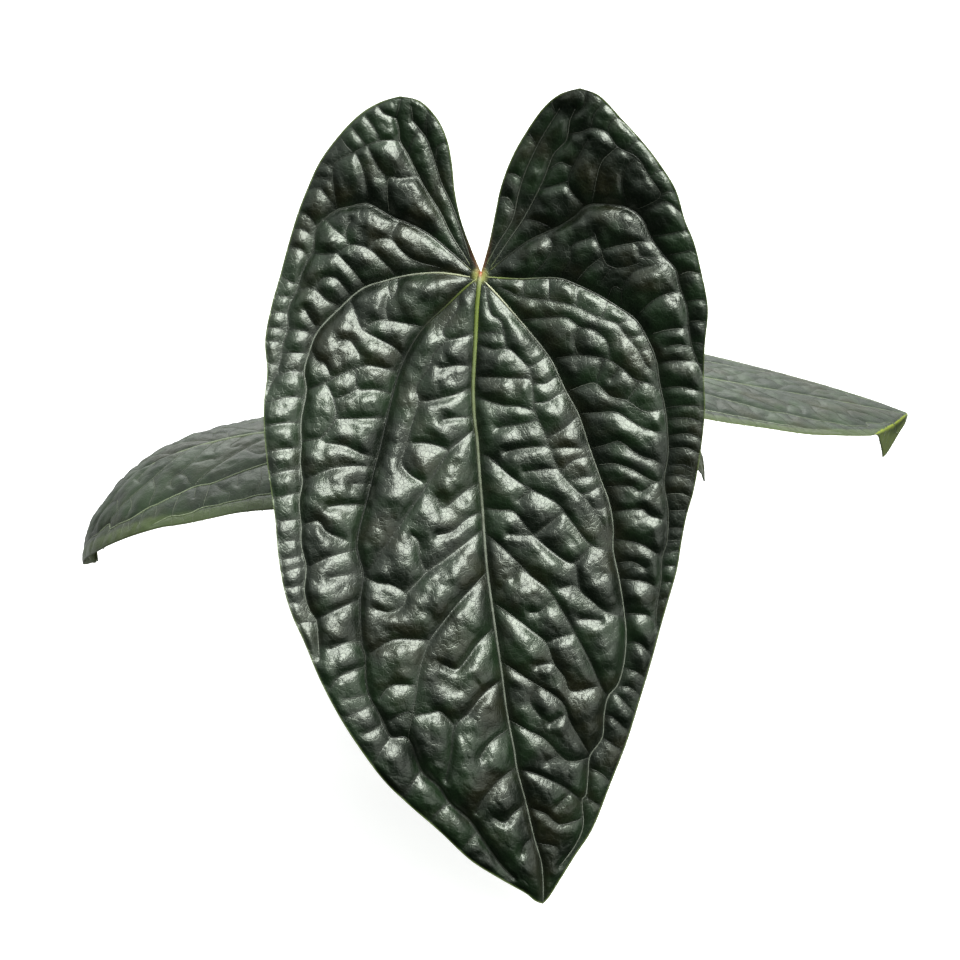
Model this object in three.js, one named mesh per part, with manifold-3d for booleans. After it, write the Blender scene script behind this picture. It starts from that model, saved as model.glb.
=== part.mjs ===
// A potted Anthurium luxurians: a short stem with four bullate heart-shaped leaves in a plain nursery pot.
// Millimetres, +Z up, +X to the viewer's right, +Y away from the viewer. The origin is the centre of the
// pot's foot, on the surface that the pot stands on.

import * as THREE from 'three';
import { mergeVertices } from 'three/addons/utils/BufferGeometryUtils.js';
import Module from 'manifold-3d';

const wasm = await Module();
wasm.setup();

const degrees = Math.PI / 180;
const gap = 0.3;                    // clearance between pieces that touch
const sameSpot = 1e-4;              // points closer than this are one

// Pot
const potHeight = 105;
const potRimRadius = 60;
const potFootRadius = 43.8;
const potNeckRadius = 57.6;         // outside of the wall just under the rim
const potWall = 1.8;
const potFloor = 3;
const rimHeight = 10;
const drainHoles = { count: 6, radius: 4, ring: 30 };
const potSides = 48;

// Potting mix
const soilLevel = 93;
const soilBump = 1.2;
const soilSides = 28;
const soilRings = 7;

// Stem
const stemAt = [2, 4];
const stemRadius = 8.6;
const stemFoot = 64;
const stemTop = 118;
const scarSpacing = 6.5;
const aerialRoots = [
  { heading: -64, reach: 15, start: 106, radius: 1.6 },
  { heading: 22, reach: 17, start: 103, radius: 1.5 },
  { heading: 100, reach: 14, start: 107, radius: 1.7 },
  { heading: 158, reach: 18, start: 102, radius: 1.5 },
  { heading: 232, reach: 15, start: 105, radius: 1.4 },
];

// Leaf, drawn flat at the size of the largest one
const leafLength = 277.1;           // from the top of the lobes to the tip
const leafReach = 215;              // from the notch to the tip
const leafHalfWidth = 75;
const bladeThickness = 1.2;
const sideBladeThickness = 1.0;
const pillowHeight = 0.55;          // rise of the skin between all veins, of a pocket's half width
const swellHeight = 0.26;           // rise of the skin between the main ribs only
const ribDip = 1.1;                 // depth of the groove along a main rib
const ribWidth = 2.2;

// The largest leaf hangs steeply, tilted back by this angle, with its notch at mainLeafAt
const mainLeafTilt = 30;
const mainLeafAt = new THREE.Vector3(-2, -39, 205);
const viewDistance = 800;
const axisBelowNotch = 70.7;        // where the view's axis meets the leaf, below its notch
const mainLeafBend = {
  across: 8, lobes: 16, centre: -100, reach: 150, twist: 16, twistCentre: -30, twistReach: 100,
};

// The smaller leaves arch away from the stem: the heading turns from +X, and the pitch falls from pitch
// to pitchTip along the midrib with the given power. Pucker is their relief as a share of the largest leaf's
const sideLeaves = {
  left: {
    at: [-42.1, -2.1, 126.7], heading: 189.8, pitch: 0.53, pitchTip: -98.9, power: 2.34,
    roll: -9.7, roof: 4.86, curl: 8.1, scale: 0.66, wide: 1, mirror: 1, pucker: 0.5,
  },
  right: {
    at: [42.5, 21.9, 141.5], heading: 7.9, pitch: -15.7, pitchTip: -21.1, power: 3.05,
    roll: 9.7, roof: 0.4, curl: 2, scale: 0.66, wide: 1, mirror: -1, pucker: 0.5,
    fold: { from: [-44.8, -155.8], to: [27.7, -206.1], angle: 80, radius: 2.3, stretch: 1.58, slide: 0.85 },
  },
  back: {
    at: [22.3, 44, 125.5], heading: 8, pitch: -5, pitchTip: -80, power: 1.3,
    roll: 0, roof: 8, curl: 4, scale: 0.42, wide: 0.95, mirror: 1, pucker: 0.6,
  },
};

// Faces of the leaves: columns from the midrib to the margin, rows from the lobe to the tip
const mainGrid = { columns: 14, rows: 62 };
const sideGrid = { columns: 8, rows: 32 };
const backGrid = { columns: 6, rows: 20 };
const lobeShare = 0.24;             // share of the rows that lie above the notch
const snapStep = 1.5;               // a vein draws the nearest point of a grid to itself at this step
const snapShare = 0.42;             // from within this share of the grid's spacing

// Petioles, each thickened at the joint under its blade
const petioles = {
  main: { radius: 2.5, knee: 3.2, joint: 14, through: [[2.4, 2, 140], [1.6, -9, 170]] },
  left: { radius: 1.9, knee: 2.5, joint: 10, through: [[-12, 4, 119], [-28, 0.5, 121]] },
  right: { radius: 1.9, knee: 2.5, joint: 10, through: [[12, 6, 124], [25, 11, 134]] },
  back: { radius: 1.6, knee: 2.1, joint: 8, through: [[9, 21, 115], [16, 33, 119]] },
};
const petioleFoot = { main: [2.2, 0, 108], left: [-2, 4, 112], right: [6, 4.5, 110], back: [5, 9, 110] };
const petioleFlare = 1.2;           // widening of a petiole towards its foot
const jointBelowNotch = 5.5;        // where a petiole meets the midrib, on the leaf at full size

// Papery sheath round the next leaf, at the top of the stem
const sheath = { radius: 2.6, through: [[0, 9, 112], [-1.5, 11, 128], [-4, 14, 146], [-7.5, 17, 162]] };

// The leaf's outline and veins, read from the photograph in its pixels: the notch is at drawingNotch
const drawingNotch = [480, 272];
const drawingLength = 815;
const drawingScale = leafLength / drawingLength;

function polylines(text) {
  return text.trim().split(';').map((route) => route.trim().split(/\s+/).map((point) => {
    const [column, row] = point.split(',').map(Number);
    return new THREE.Vector2(column - drawingNotch[0], drawingNotch[1] - row).multiplyScalar(drawingScale);
  }));
}

const leftEdge = polylines(`
  481,272 471,248 461,220 455,192 452,163 447,139 437,118 420,101 400,96 380,102 360,114 340,134 320,161
  307,189 297,215 288,245 280,275 271,307 265,340 267,372 264,400 264,430 267,462 271,490 275,520 278,555
  284,590 293,618 304,642 320,680 340,718 362,752 385,782 410,806 440,832 470,860 500,879 525,893 535,901
  543,904`)[0];
const rightEdge = polylines(`
  481,272 489,243 495,214 501,186 512,157 526,132 543,108 560,94 580,88 600,96 622,119 643,142 660,164
  676,190 685,220 694,242 701,270 708,308 705,345 704,378 705,410 701,450 694,490 687,515 682,540 677,570
  668,602 660,630 652,660 640,700 627,742 611,783 593,828 575,856 560,880 550,896 543,904`)[0];
const midrib = polylines(`
  480,276 477,305 475,345 473,385 474,415 477,440 479,470 482,505 484,535 487,570 491,600 496,635 501,668
  505,700 509,725 514,750 517,770 525,800 534,838 541,862 543,884 543,901`)[0];
const leftRibs = polylines(`
  476,279 465,288 443,309 424,327 410,348 399,372 390,405 381,443 374,470 366,503 359,530 357,549 363,574
  360,600 361,640 365,657 366,682 371,700 380,716 391,737 408,739 421,770 438,786 450,803 470,821 485,843
  500,864 514,878;
  470,277 440,273 410,275 385,281 362,289 340,308 318,331 309,352 304,372 306,391 301,420 301,445 300,462
  302,483 299,502 301,527 301,545 306,568 304,590 309,610 316,621 318,640 319,658;
  471,270 452,253 430,235 410,224 390,216 368,204 348,207 335,211 317,227 313,250 303,270 297,290 288,310
  288,328 282,348 279,366 268,391;
  470,265 452,236 440,212 429,195 419,177 408,155 400,141 399,130 396,118;
  470,258 460,228 453,208 447,195 441,182 435,163 427,140 420,130 413,121`);
const rightRibs = polylines(`
  484,281 500,298 520,321 540,345 552,362 565,390 578,414 590,450 600,478 609,503 613,527 613,551 619,579
  624,612 626,636 624,662 618,684 608,697 604,715 602,738 590,756 588,775 586,795 582,801 583,826 575,846
  560,866;
  486,277 520,279 555,278 575,284 598,295 618,307 636,320 648,340 656,360 660,385 666,415 668,452 664,482
  668,510 667,541 662,558 661,580 657,605 656,628;
  489,271 508,256 530,240 560,226 575,216 585,207 597,204 625,207 642,219 651,238 664,256 676,270 679,284
  687,308 689,328 693,350 704,376;
  490,268 508,241 523,219 535,197 544,178 553,155 565,142 568,133 570,120 575,109;
  486,265 497,245 512,220 518,195 525,172 538,144 551,122 560,108`);
const creases = [
  // left of the midrib
  ...polylines(`
    472,334 460,338 448,340 443,332 448,322 456,312 459,300; 471,366 455,366 440,369;
    471,388 455,395 435,400 419,403; 472,417 455,418 443,420;
    472,431 457,444 449,451 434,474 420,495 402,522 386,547 370,569 363,576;
    447,341 434,355 430,367 417,388 419,402 411,430 405,452 402,464 412,476 421,481;
    449,450 435,445 420,443 406,445; 476,484 462,494 443,509 437,497; 480,512 465,520 453,531 437,535;
    482,530 463,545 445,559 427,572 406,594; 427,572 421,560 419,542 412,535;
    364,577 378,583 392,585 406,594 403,606 390,612 376,609;
    487,572 475,585 458,603 443,622 430,640 421,665 416,695 411,722 408,739;
    430,640 415,639 392,640 366,657; 418,685 392,685 380,698; 412,711 402,713 391,720;
    494,628 478,643 465,661 456,669 443,664; 501,680 483,694 468,713 455,726 451,755 446,780;
    455,726 441,711 432,712 414,715; 510,728 490,742 480,757; 517,767 500,779 486,795 476,812;
    526,804 513,813 505,822 494,817; 534,838 525,844 521,853`),
  // between the first and second left ribs
  ...polylines(`
    398,278 397,290 392,299 388,285; 388,298 386,312 389,322; 363,330 375,322 387,321 405,324 424,327;
    350,300 357,316 363,330 380,340 393,347 404,357; 340,342 350,341 360,355;
    311,350 318,362 325,364 332,379; 306,390 318,386 332,379 345,373 365,366 380,368 397,371;
    326,383 334,399 336,418 322,437 302,441; 357,370 358,389 375,390 391,393; 334,400 346,396 358,389;
    336,419 356,419 384,418; 324,443 345,446 362,454 377,458; 302,483 318,474 335,468 355,466 375,467;
    352,484 371,483; 328,507 345,505 366,505; 301,527 318,521 327,532 345,540; 306,568 330,557 357,549;
    330,578 345,575 363,573; 316,620 338,609 360,599; 330,649 345,643 361,641; 330,688 342,675 366,666;
    344,699 357,697 370,695; 346,717 360,711 374,704; 364,734 376,729 384,722; 372,765 381,750 391,737;
    402,798 412,784 421,770; 430,822 440,810 450,803; 462,850 472,838 478,831`),
  // along the left margin
  ...polylines(`
    301,422 285,423 264,426; 299,448 285,449 266,452; 299,469 285,471 269,476; 300,492 285,496 272,499;
    300,519 285,521 277,524; 301,540 287,541 279,543; 301,556 290,558 281,560; 305,566 293,569 282,574;
    304,584 293,587 284,588; 306,398 290,397 266,402; 309,612 300,604 290,603; 315,622 304,622 297,624;
    312,236 302,229 292,229; 308,257 300,249 287,248; 299,284 290,282 281,276; 292,298 282,296 275,296;
    288,314 278,312 270,314; 287,331 278,328 267,328; 283,344 275,341 266,341; 279,364 268,364`),
  // upper left, between the second, third and fourth left ribs
  ...polylines(`
    313,253 325,255 338,253 348,246 360,246 371,251 383,262 396,275; 339,256 352,270 365,287;
    297,290 314,289 326,300 341,307; 316,288 322,279 335,278 343,286 352,298; 288,329 300,330 316,335;
    282,352 295,353 309,353; 280,374 292,371 304,372; 305,309 312,322 320,330; 348,246 346,232 351,221;
    325,218 334,229 346,238; 371,251 376,241 391,240 400,250 414,261 440,268; 400,220 394,231 391,240;
    400,141 385,141 370,145 353,154 341,159 333,168 334,190 337,210; 418,177 400,179 388,181 389,214;
    356,154 364,173 369,202; 368,147 377,166 388,181; 380,141 375,130 366,117; 366,146 358,136 352,128;
    353,154 346,146 341,138; 333,168 322,163 319,162; 333,182 322,178 312,177;
    336,208 327,197 319,188 306,190; 317,227 308,216 299,212; 420,131 412,141 409,152; 413,121 411,106;
    427,139 426,124 429,111; 436,165 437,148 446,142; 396,118 384,114 377,104; 396,118 399,107 401,97;
    432,198 437,186 441,181`),
  // upper right lobe
  ...polylines(`
    568,134 580,133 592,129 607,134 617,148 636,158 648,176 660,196 646,206 634,210;
    588,140 576,162 568,182 573,195 585,207; 617,148 602,162 596,180 592,204;
    634,160 624,172 622,188 628,206; 541,189 555,186 568,182; 524,219 538,222 552,229;
    548,170 560,163 572,168; 642,213 655,206 666,202 680,212; 650,236 665,235 688,230;
    663,256 676,254 694,250; 678,276 688,272 702,274; 685,302 696,300 707,300; 689,322 698,321 707,322;
    692,343 698,343 705,345; 590,129 594,115 602,105; 607,134 611,122 620,118; 628,151 634,143 641,141;
    650,180 656,172 664,171; 660,196 668,192 676,192; 514,208 508,198 498,198; 523,180 514,174 506,174;
    537,146 530,135 526,133; 556,114 552,104 551,101; 570,118 584,106 586,90`),
  // between the third and second right ribs
  ...polylines(`
    604,250 620,246 636,243 652,242; 638,245 640,257 655,258 664,258;
    594,234 600,250 606,265 620,269 638,264; 621,305 622,290 632,273 650,267 666,260;
    637,316 650,303 664,295 681,292; 652,334 668,330 689,328; 659,363 675,361 694,362 703,366;
    661,389 680,387 704,393; 664,408 684,406 704,407; 666,347 678,345 692,347; 575,283 586,270 602,257;
    530,278 545,262 552,245 545,233; 561,277 570,262 572,246 594,238; 601,282 610,270;
    606,306 612,288 622,290`),
  // along the right margin
  ...polylines(`
    666,419 685,418 704,423; 668,436 688,434 703,440; 667,449 686,448 701,455; 665,466 684,465 697,473;
    664,478 678,475 694,481; 667,494 682,494 691,498; 668,511 686,510; 668,528 684,528; 667,541 681,540;
    663,553 680,550; 661,566 677,566; 660,583 674,582; 658,600 669,598`),
  // between the second and first right ribs
  ...polylines(`
    500,287 520,297 548,301 575,307 600,319 616,324 626,337 638,351 647,367 657,372; 524,280 523,298;
    549,279 549,301; 575,285 577,296 575,307; 608,302 601,318; 634,318 617,325; 646,335 627,338;
    650,349 638,351; 520,320 537,319 557,318 568,319 580,328 594,331 607,343 609,357;
    552,359 577,356 603,359 620,368 634,380 650,384 659,390; 603,359 597,380; 619,368 611,380;
    640,382 626,401; 580,328 574,342 578,356; 567,392 582,386 595,384 610,397 626,401 645,412 664,409;
    578,414 598,413 617,413 640,427 665,435; 590,449 605,445 619,442 638,455 657,462 665,470;
    597,465 615,464 632,470 652,481 664,483; 605,487 622,486 632,487 640,492 652,484;
    611,512 640,509 650,516 668,521; 614,539 640,544 661,557; 617,563 632,562 644,568;
    619,579 645,582 659,591; 624,614 640,614 650,617 658,626; 626,642 640,644 653,658;
    624,668 636,672 648,680; 616,688 628,687 641,697; 608,696 616,694 636,715; 604,716 612,717 626,730;
    602,738 618,748 622,752; 589,768 602,774 610,783; 585,797 597,804 600,806`),
  // right of the midrib
  ...polylines(`
    480,345 492,350 508,349 520,359 530,367 547,356; 486,287 491,314 501,322 507,349; 478,333 502,333;
    530,367 533,395 535,412 546,438 556,465 567,481 586,500 600,520 607,540; 474,377 495,378 531,379;
    474,396 500,405 520,407 534,411; 497,428 518,425 537,420; 505,452 525,448 549,446;
    524,472 540,470 557,468; 533,403 547,402 556,396 566,392; 532,383 545,384 558,375;
    546,438 562,430 578,416; 550,450 565,448 586,449; 560,472 574,460 592,456; 568,481 580,478 596,476;
    580,494 588,493 600,486; 592,510 602,508 610,506;
    479,455 490,458 510,476 530,489 556,503 570,520 590,544 613,551; 531,490 518,500;
    563,512 547,525 533,536; 484,508 500,510 514,512 532,534 562,559 576,562 591,545;
    508,534 520,535 532,535; 576,562 579,588 592,601 605,611 624,616; 560,588 570,585 579,587;
    579,618 600,620; 487,535 505,550 530,575 550,592 572,628 590,662 600,685 608,697; 519,566 513,578;
    553,597 540,611 530,612; 493,603 510,614 530,629 546,643 553,662 564,677 571,691 597,686;
    546,643 558,637 574,632; 536,665 553,662; 502,662 528,679 560,700 570,722 590,756; 562,715 549,723;
    535,690 530,701 540,716; 509,720 530,731 545,739 566,760 589,758; 560,754 546,761;
    518,770 535,773 563,786 582,801; 569,793 556,806; 529,808 545,813 560,824 583,818; 536,843 556,846`),
];

// Points at even distances along a smooth curve through the given flat points
function spaced(points, count) {
  const curve = new THREE.SplineCurve(points);
  curve.arcLengthDivisions = 600;
  return curve.getSpacedPoints(count);
}

const notch = leftEdge[0];
const tip = leftEdge[leftEdge.length - 1];
const spine = [notch, ...midrib, tip];

// One half of the leaf between its inner edge, from the lobe's top round the notch and down the midrib, and
// its outer edge, from the lobe's top down the margin: rows[i][j] runs from the inner to the outer edge
function halfRows(edge, columns, rows) {
  const lobeTop = edge.reduce((best, point, i) => (point.y > edge[best].y ? i : best), 0);
  const inward = edge.slice(0, lobeTop + 1).reverse();
  const outer = spaced(edge.slice(lobeTop), rows);
  const lobeRows = Math.round(rows * lobeShare);
  const inner = [...spaced(inward, lobeRows).slice(0, -1), ...spaced(spine, rows - lobeRows)];
  const grid = inner.map((start, i) => Array.from({ length: columns + 1 },
    (_, j) => start.clone().lerp(outer[i], j / columns)));
  return { grid, lobeRows };
}

// Visits the cells of a raster over the leaf that lie within reach of a polyline, with their distance to it
function alongLine(line, raster, reach, visit) {
  const centre = new THREE.Vector3();
  const near = new THREE.Vector3();
  for (let k = 1; k < line.length; k++) {
    const ends = [line[k - 1], line[k]].map((point) => new THREE.Vector3(point.x, point.y, 0));
    const segment = new THREE.Line3(...ends);
    const [lowX, highX] = [line[k - 1].x, line[k].x].sort((a, b) => a - b);
    const [lowY, highY] = [line[k - 1].y, line[k].y].sort((a, b) => a - b);
    for (let row = raster.row(lowY - reach); row <= raster.row(highY + reach); row++) {
      for (let column = raster.column(lowX - reach); column <= raster.column(highX + reach); column++) {
        centre.set(raster.x(column), raster.y(row), 0);
        segment.closestPointToPoint(centre, true, near);
        visit(row * raster.columns + column, centre.distanceTo(near));
      }
    }
  }
}

function rasterOver(cell) {
  const [left, bottom] = [-leafHalfWidth - 6, -leafReach - 6];
  const columns = Math.ceil((2 * -left) / cell);
  const rows = Math.ceil((leafLength + 14) / cell);
  const clamp = (value, top) => Math.max(1, Math.min(top - 2, value));
  return {
    cell, columns, rows,
    x: (column) => left + column * cell,
    y: (row) => bottom + row * cell,
    column: (x) => clamp(Math.round((x - left) / cell), columns),
    row: (y) => clamp(Math.round((y - bottom) / cell), rows),
    sample(field, x, y) {
      const u = Math.max(0, Math.min(columns - 1.001, (x - left) / cell));
      const v = Math.max(0, Math.min(rows - 1.001, (y - bottom) / cell));
      const [i, j] = [Math.floor(u), Math.floor(v)];
      const at = j * columns + i;
      const lower = field[at] * (1 - u + i) + field[at + 1] * (u - i);
      const upper = field[at + columns] * (1 - u + i) + field[at + columns + 1] * (u - i);
      return lower * (1 - v + j) + upper * (v - j);
    },
  };
}

// A skin blown up between held lines: q has a Laplacian of -2 and is held near 0 on the lines and the
// margin, so that at the middle of a pocket the root of q is about half the pocket's width
function blownSkin(lines, cell, holdWidth, passes) {
  const holdStrength = 12;
  const raster = rasterOver(cell);
  const q = new Float64Array(raster.columns * raster.rows);
  const hold = new Float64Array(q.length);
  const margin = [...leftEdge, ...rightEdge.slice().reverse()];
  for (const line of [...lines, margin]) {
    alongLine(line, raster, 2.5 * holdWidth, (at, distance) => {
      hold[at] = Math.max(hold[at], holdStrength * Math.exp(-((distance / holdWidth) ** 2)));
    });
  }
  for (let at = 0; at < q.length; at++) {
    const place = new THREE.Vector2(raster.x(at % raster.columns), raster.y(Math.floor(at / raster.columns)));
    if (!inside(place, margin)) {
      hold[at] = Infinity;
    }
  }
  for (let pass = 0; pass < passes; pass++) {
    for (let at = raster.columns; at < q.length - raster.columns; at++) {
      const around = q[at - 1] + q[at + 1] + q[at - raster.columns] + q[at + raster.columns];
      q[at] = (around + 2 * cell * cell) / (4 + hold[at]);
    }
  }
  return (x, y) => Math.sqrt(Math.max(0, raster.sample(q, x, y)));
}

function inside(place, outline) {
  let within = false;
  for (let i = 0, j = outline.length - 1; i < outline.length; j = i++) {
    const [a, b] = [outline[i], outline[j]];
    if ((a.y > place.y) !== (b.y > place.y)) {
      const crossing = a.x + ((place.y - a.y) * (b.x - a.x)) / (b.y - a.y);
      within = place.x < crossing ? !within : within;
    }
  }
  return within;
}

const mainRibs = [spine, ...leftRibs, ...rightRibs];
const pocketSkin = blownSkin([...mainRibs, ...creases], 1.5, 1.2, 260);
const swellSkin = blownSkin(mainRibs, 3, 1.5, 300);
const ribField = (() => {
  const raster = rasterOver(1.5);
  const distances = new Float64Array(raster.columns * raster.rows).fill(20);
  for (const line of mainRibs) {
    alongLine(line, raster, 6, (at, distance) => {
      distances[at] = Math.min(distances[at], distance);
    });
  }
  return (x, y) => raster.sample(distances, x, y);
})();

function relief(x, y) {
  const groove = Math.exp(-((ribField(x, y) / ribWidth) ** 2));
  return pillowHeight * pocketSkin(x, y) + swellHeight * swellSkin(x, y) - ribDip * groove;
}

// The largest leaf is slightly bent: its margin and its lobes come forwards and its tip goes back, and a
// twist brings its right lobe and its lower left side further forwards. What comes forwards moves in with
// its distance from the view's eye, so that the outline seen from there stays as drawn
const leafRight = new THREE.Vector3(1, 0, 0);
const leafUp = new THREE.Vector3(0, Math.sin(mainLeafTilt * degrees), Math.cos(mainLeafTilt * degrees));
const leafOut = leafRight.clone().cross(leafUp);

function mainLeafPlace(x, y) {
  const { across, lobes, centre, reach, twist, twistCentre, twistReach } = mainLeafBend;
  const side = x / leafHalfWidth;
  const rise = across * side ** 2 + lobes * ((y - centre) / reach) ** 3
    + (twist * side * (y - twistCentre)) / twistReach;
  const spread = 1 - rise / viewDistance;
  const point = mainLeafAt.clone()
    .addScaledVector(leafRight, x * spread)
    .addScaledVector(leafUp, (y + axisBelowNotch) * spread - axisBelowNotch)
    .addScaledVector(leafOut, rise);
  return { point, normal: leafOut };
}

// Running sums of cos and sin of the pitch along an arched midrib, zero at the notch
function archOf(leaf) {
  const reach = leafReach * leaf.scale;
  const steps = 600;
  const [low, high] = [-0.4 * reach, 1.05 * reach];
  const pitchAt = (s) => {
    const t = s / reach;
    return (leaf.pitch + (leaf.pitchTip - leaf.pitch) * Math.sign(t) * Math.abs(t) ** leaf.power) * degrees;
  };
  const step = (high - low) / steps;
  const [ahead, rise] = [[0], [0]];
  for (let i = 1; i <= steps; i++) {
    const [a, b] = [pitchAt(low + step * (i - 1)), pitchAt(low + step * i)];
    ahead.push(ahead[i - 1] + (step * (Math.cos(a) + Math.cos(b))) / 2);
    rise.push(rise[i - 1] + (step * (Math.sin(a) + Math.sin(b))) / 2);
  }
  const read = (sums, s) => {
    const u = Math.max(0, Math.min(steps - 0.001, (s - low) / step));
    const i = Math.floor(u);
    return sums[i] * (1 - u + i) + sums[i + 1] * (u - i);
  };
  return (s) => ({
    ahead: read(ahead, s) - read(ahead, 0),
    rise: read(rise, s) - read(rise, 0),
    pitch: pitchAt(s),
  });
}

// A leaf arched along its midrib, rolled about it, and bent down to both sides
function archedPlace(leaf) {
  const arch = archOf(leaf);
  const heading = leaf.heading * degrees;
  const along = new THREE.Vector3(Math.cos(heading), Math.sin(heading), 0);
  const level = new THREE.Vector3(Math.sin(heading), -Math.cos(heading), 0);
  const up = new THREE.Vector3(0, 0, 1);
  return (x, y) => {
    const across = x * leaf.scale * leaf.mirror * leaf.wide;
    const { ahead, rise, pitch } = arch(-y * leaf.scale);
    const back = along.clone().multiplyScalar(-Math.sin(pitch)).addScaledVector(up, Math.cos(pitch));
    const side = level.clone().multiplyScalar(Math.cos(leaf.roll * degrees))
      .addScaledVector(back, Math.sin(leaf.roll * degrees));
    const normal = back.clone().multiplyScalar(Math.cos(leaf.roll * degrees))
      .addScaledVector(level, -Math.sin(leaf.roll * degrees));
    const bend = Math.abs(across) * Math.sin(leaf.roof * degrees)
      + leaf.curl * (across / (leafHalfWidth * leaf.scale)) ** 2;
    const point = new THREE.Vector3(...leaf.at)
      .addScaledVector(along, ahead)
      .addScaledVector(up, rise)
      .addScaledVector(side, across * Math.cos(leaf.roof * degrees))
      .addScaledVector(normal, -bend);
    return { point, normal };
  };
}

// The tip of a leaf folded down round a small radius, past a line between two points of the margin
function foldedPlace(leaf, place) {
  const from = new THREE.Vector2(...leaf.fold.from);
  const line = new THREE.Vector2(...leaf.fold.to).sub(from);
  const length = line.length();
  line.normalize();
  const beyond = new THREE.Vector2(line.y, -line.x);
  if (beyond.dot(tip.clone().sub(from)) < 0) {
    beyond.negate();
  }
  const start = place(from.x, from.y);
  const end = place(from.x + line.x * length, from.y + line.y * length);
  const hinge = end.point.clone().sub(start.point).normalize();
  const middle = place(from.x + (line.x * length) / 2, from.y + (line.y * length) / 2);
  const ahead = middle.normal.clone().cross(hinge);
  const probe = place(from.x + line.x * length + beyond.x, from.y + line.y * length + beyond.y);
  if (ahead.dot(probe.point.sub(end.point)) < 0) {
    ahead.negate();
  }
  return (x, y) => {
    const offset = new THREE.Vector2(x, y).sub(from);
    const distance = offset.dot(beyond);
    if (distance <= 0) {
      return place(x, y);
    }
    const station = offset.dot(line);
    const foot = place(from.x + line.x * station, from.y + line.y * station);
    const run = distance * leaf.scale * leaf.fold.stretch;
    const full = leaf.fold.angle * degrees;
    const arc = full * leaf.fold.radius;
    const turn = full * Math.min(1, run / arc);
    const rest = Math.max(0, run - arc);
    const point = foot.point
      .addScaledVector(ahead, leaf.fold.radius * Math.sin(turn) + rest * Math.cos(full))
      .addScaledVector(middle.normal, -leaf.fold.radius * (1 - Math.cos(turn)) - rest * Math.sin(full))
      .addScaledVector(hinge, -leaf.fold.slide * run);
    const normal = middle.normal.clone().multiplyScalar(Math.cos(turn))
      .addScaledVector(ahead, Math.sin(turn));
    return { point, normal };
  };
}

// Moves the inner points of a flat grid onto the vein that passes near them, so that edges follow it
function snapToVeins(grid, lines, share) {
  const taken = new Set();
  for (const line of lines) {
    for (const stop of spaced(line, Math.ceil(new THREE.SplineCurve(line).getLength() / snapStep))) {
      let best = null;
      for (let i = 1; i < grid.length - 1; i++) {
        for (let j = 1; j < grid[i].length - 1; j++) {
          const distance = grid[i][j].distanceTo(stop);
          const spacing = Math.min(
            grid[i][j].distanceTo(grid[i][j + 1]), grid[i][j].distanceTo(grid[i + 1][j]));
          if (distance < share * spacing && (!best || distance < best.distance)) {
            best = { i, j, distance };
          }
        }
      }
      const key = best && best.i * 1000 + best.j;
      if (best && !taken.has(key)) {
        taken.add(key);
        grid[best.i][best.j].copy(stop);
      }
    }
  }
}

function geometryFrom(corners) {
  const geometry = new THREE.BufferGeometry();
  geometry.setAttribute('position', new THREE.Float32BufferAttribute(corners.flatMap((p) => p.toArray()), 3));
  return geometry;
}

// A closed sheet that follows the leaf, from lower millimetres under its relief to upper over it. Each tile
// is split along its deeper diagonal, alike on both faces, so that edges run along the veins
function bladeGeometry({ columns, rows }, place, { raised, upper, lower, mirrored }) {
  const triangles = [];
  const lay = (corners) => {
    const [a, b, c] = corners;
    if (a.distanceTo(b) > sameSpot && b.distanceTo(c) > sameSpot && c.distanceTo(a) > sameSpot) {
      triangles.push(...corners);
    }
  };
  for (const edge of [leftEdge, rightEdge]) {
    const { grid, lobeRows } = halfRows(edge, columns, rows);
    snapToVeins(grid, [...mainRibs, ...creases], snapShare);
    const flipped = (edge === leftEdge) !== mirrored;
    const faces = grid.map((row) => row.map(({ x, y }) => {
      const { point, normal } = place(x, y);
      const height = relief(x, y) * raised;
      return {
        height,
        top: point.clone().addScaledVector(normal, height + upper),
        bottom: point.clone().addScaledVector(normal, height - lower),
      };
    }));
    const tile = (a, b, c) => {
      lay(flipped ? [a.top, c.top, b.top] : [a.top, b.top, c.top]);
      lay(flipped ? [a.bottom, b.bottom, c.bottom] : [a.bottom, c.bottom, b.bottom]);
    };
    const wall = (a, b) => {
      lay(flipped ? [a.top, b.top, a.bottom] : [a.top, a.bottom, b.top]);
      lay(flipped ? [b.top, b.bottom, a.bottom] : [b.top, a.bottom, b.bottom]);
    };
    for (let i = 0; i < rows; i++) {
      for (let j = 0; j < columns; j++) {
        const [a, b, c, d] = [faces[i][j], faces[i][j + 1], faces[i + 1][j], faces[i + 1][j + 1]];
        if (a.height + d.height < b.height + c.height) {
          tile(a, c, d);
          tile(a, d, b);
        } else {
          tile(a, c, b);
          tile(b, c, d);
        }
      }
      wall(faces[i + 1][columns], faces[i][columns]);
      if (i < lobeRows) {
        wall(faces[i][0], faces[i + 1][0]);
      }
    }
  }
  return geometryFrom(triangles);
}

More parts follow.
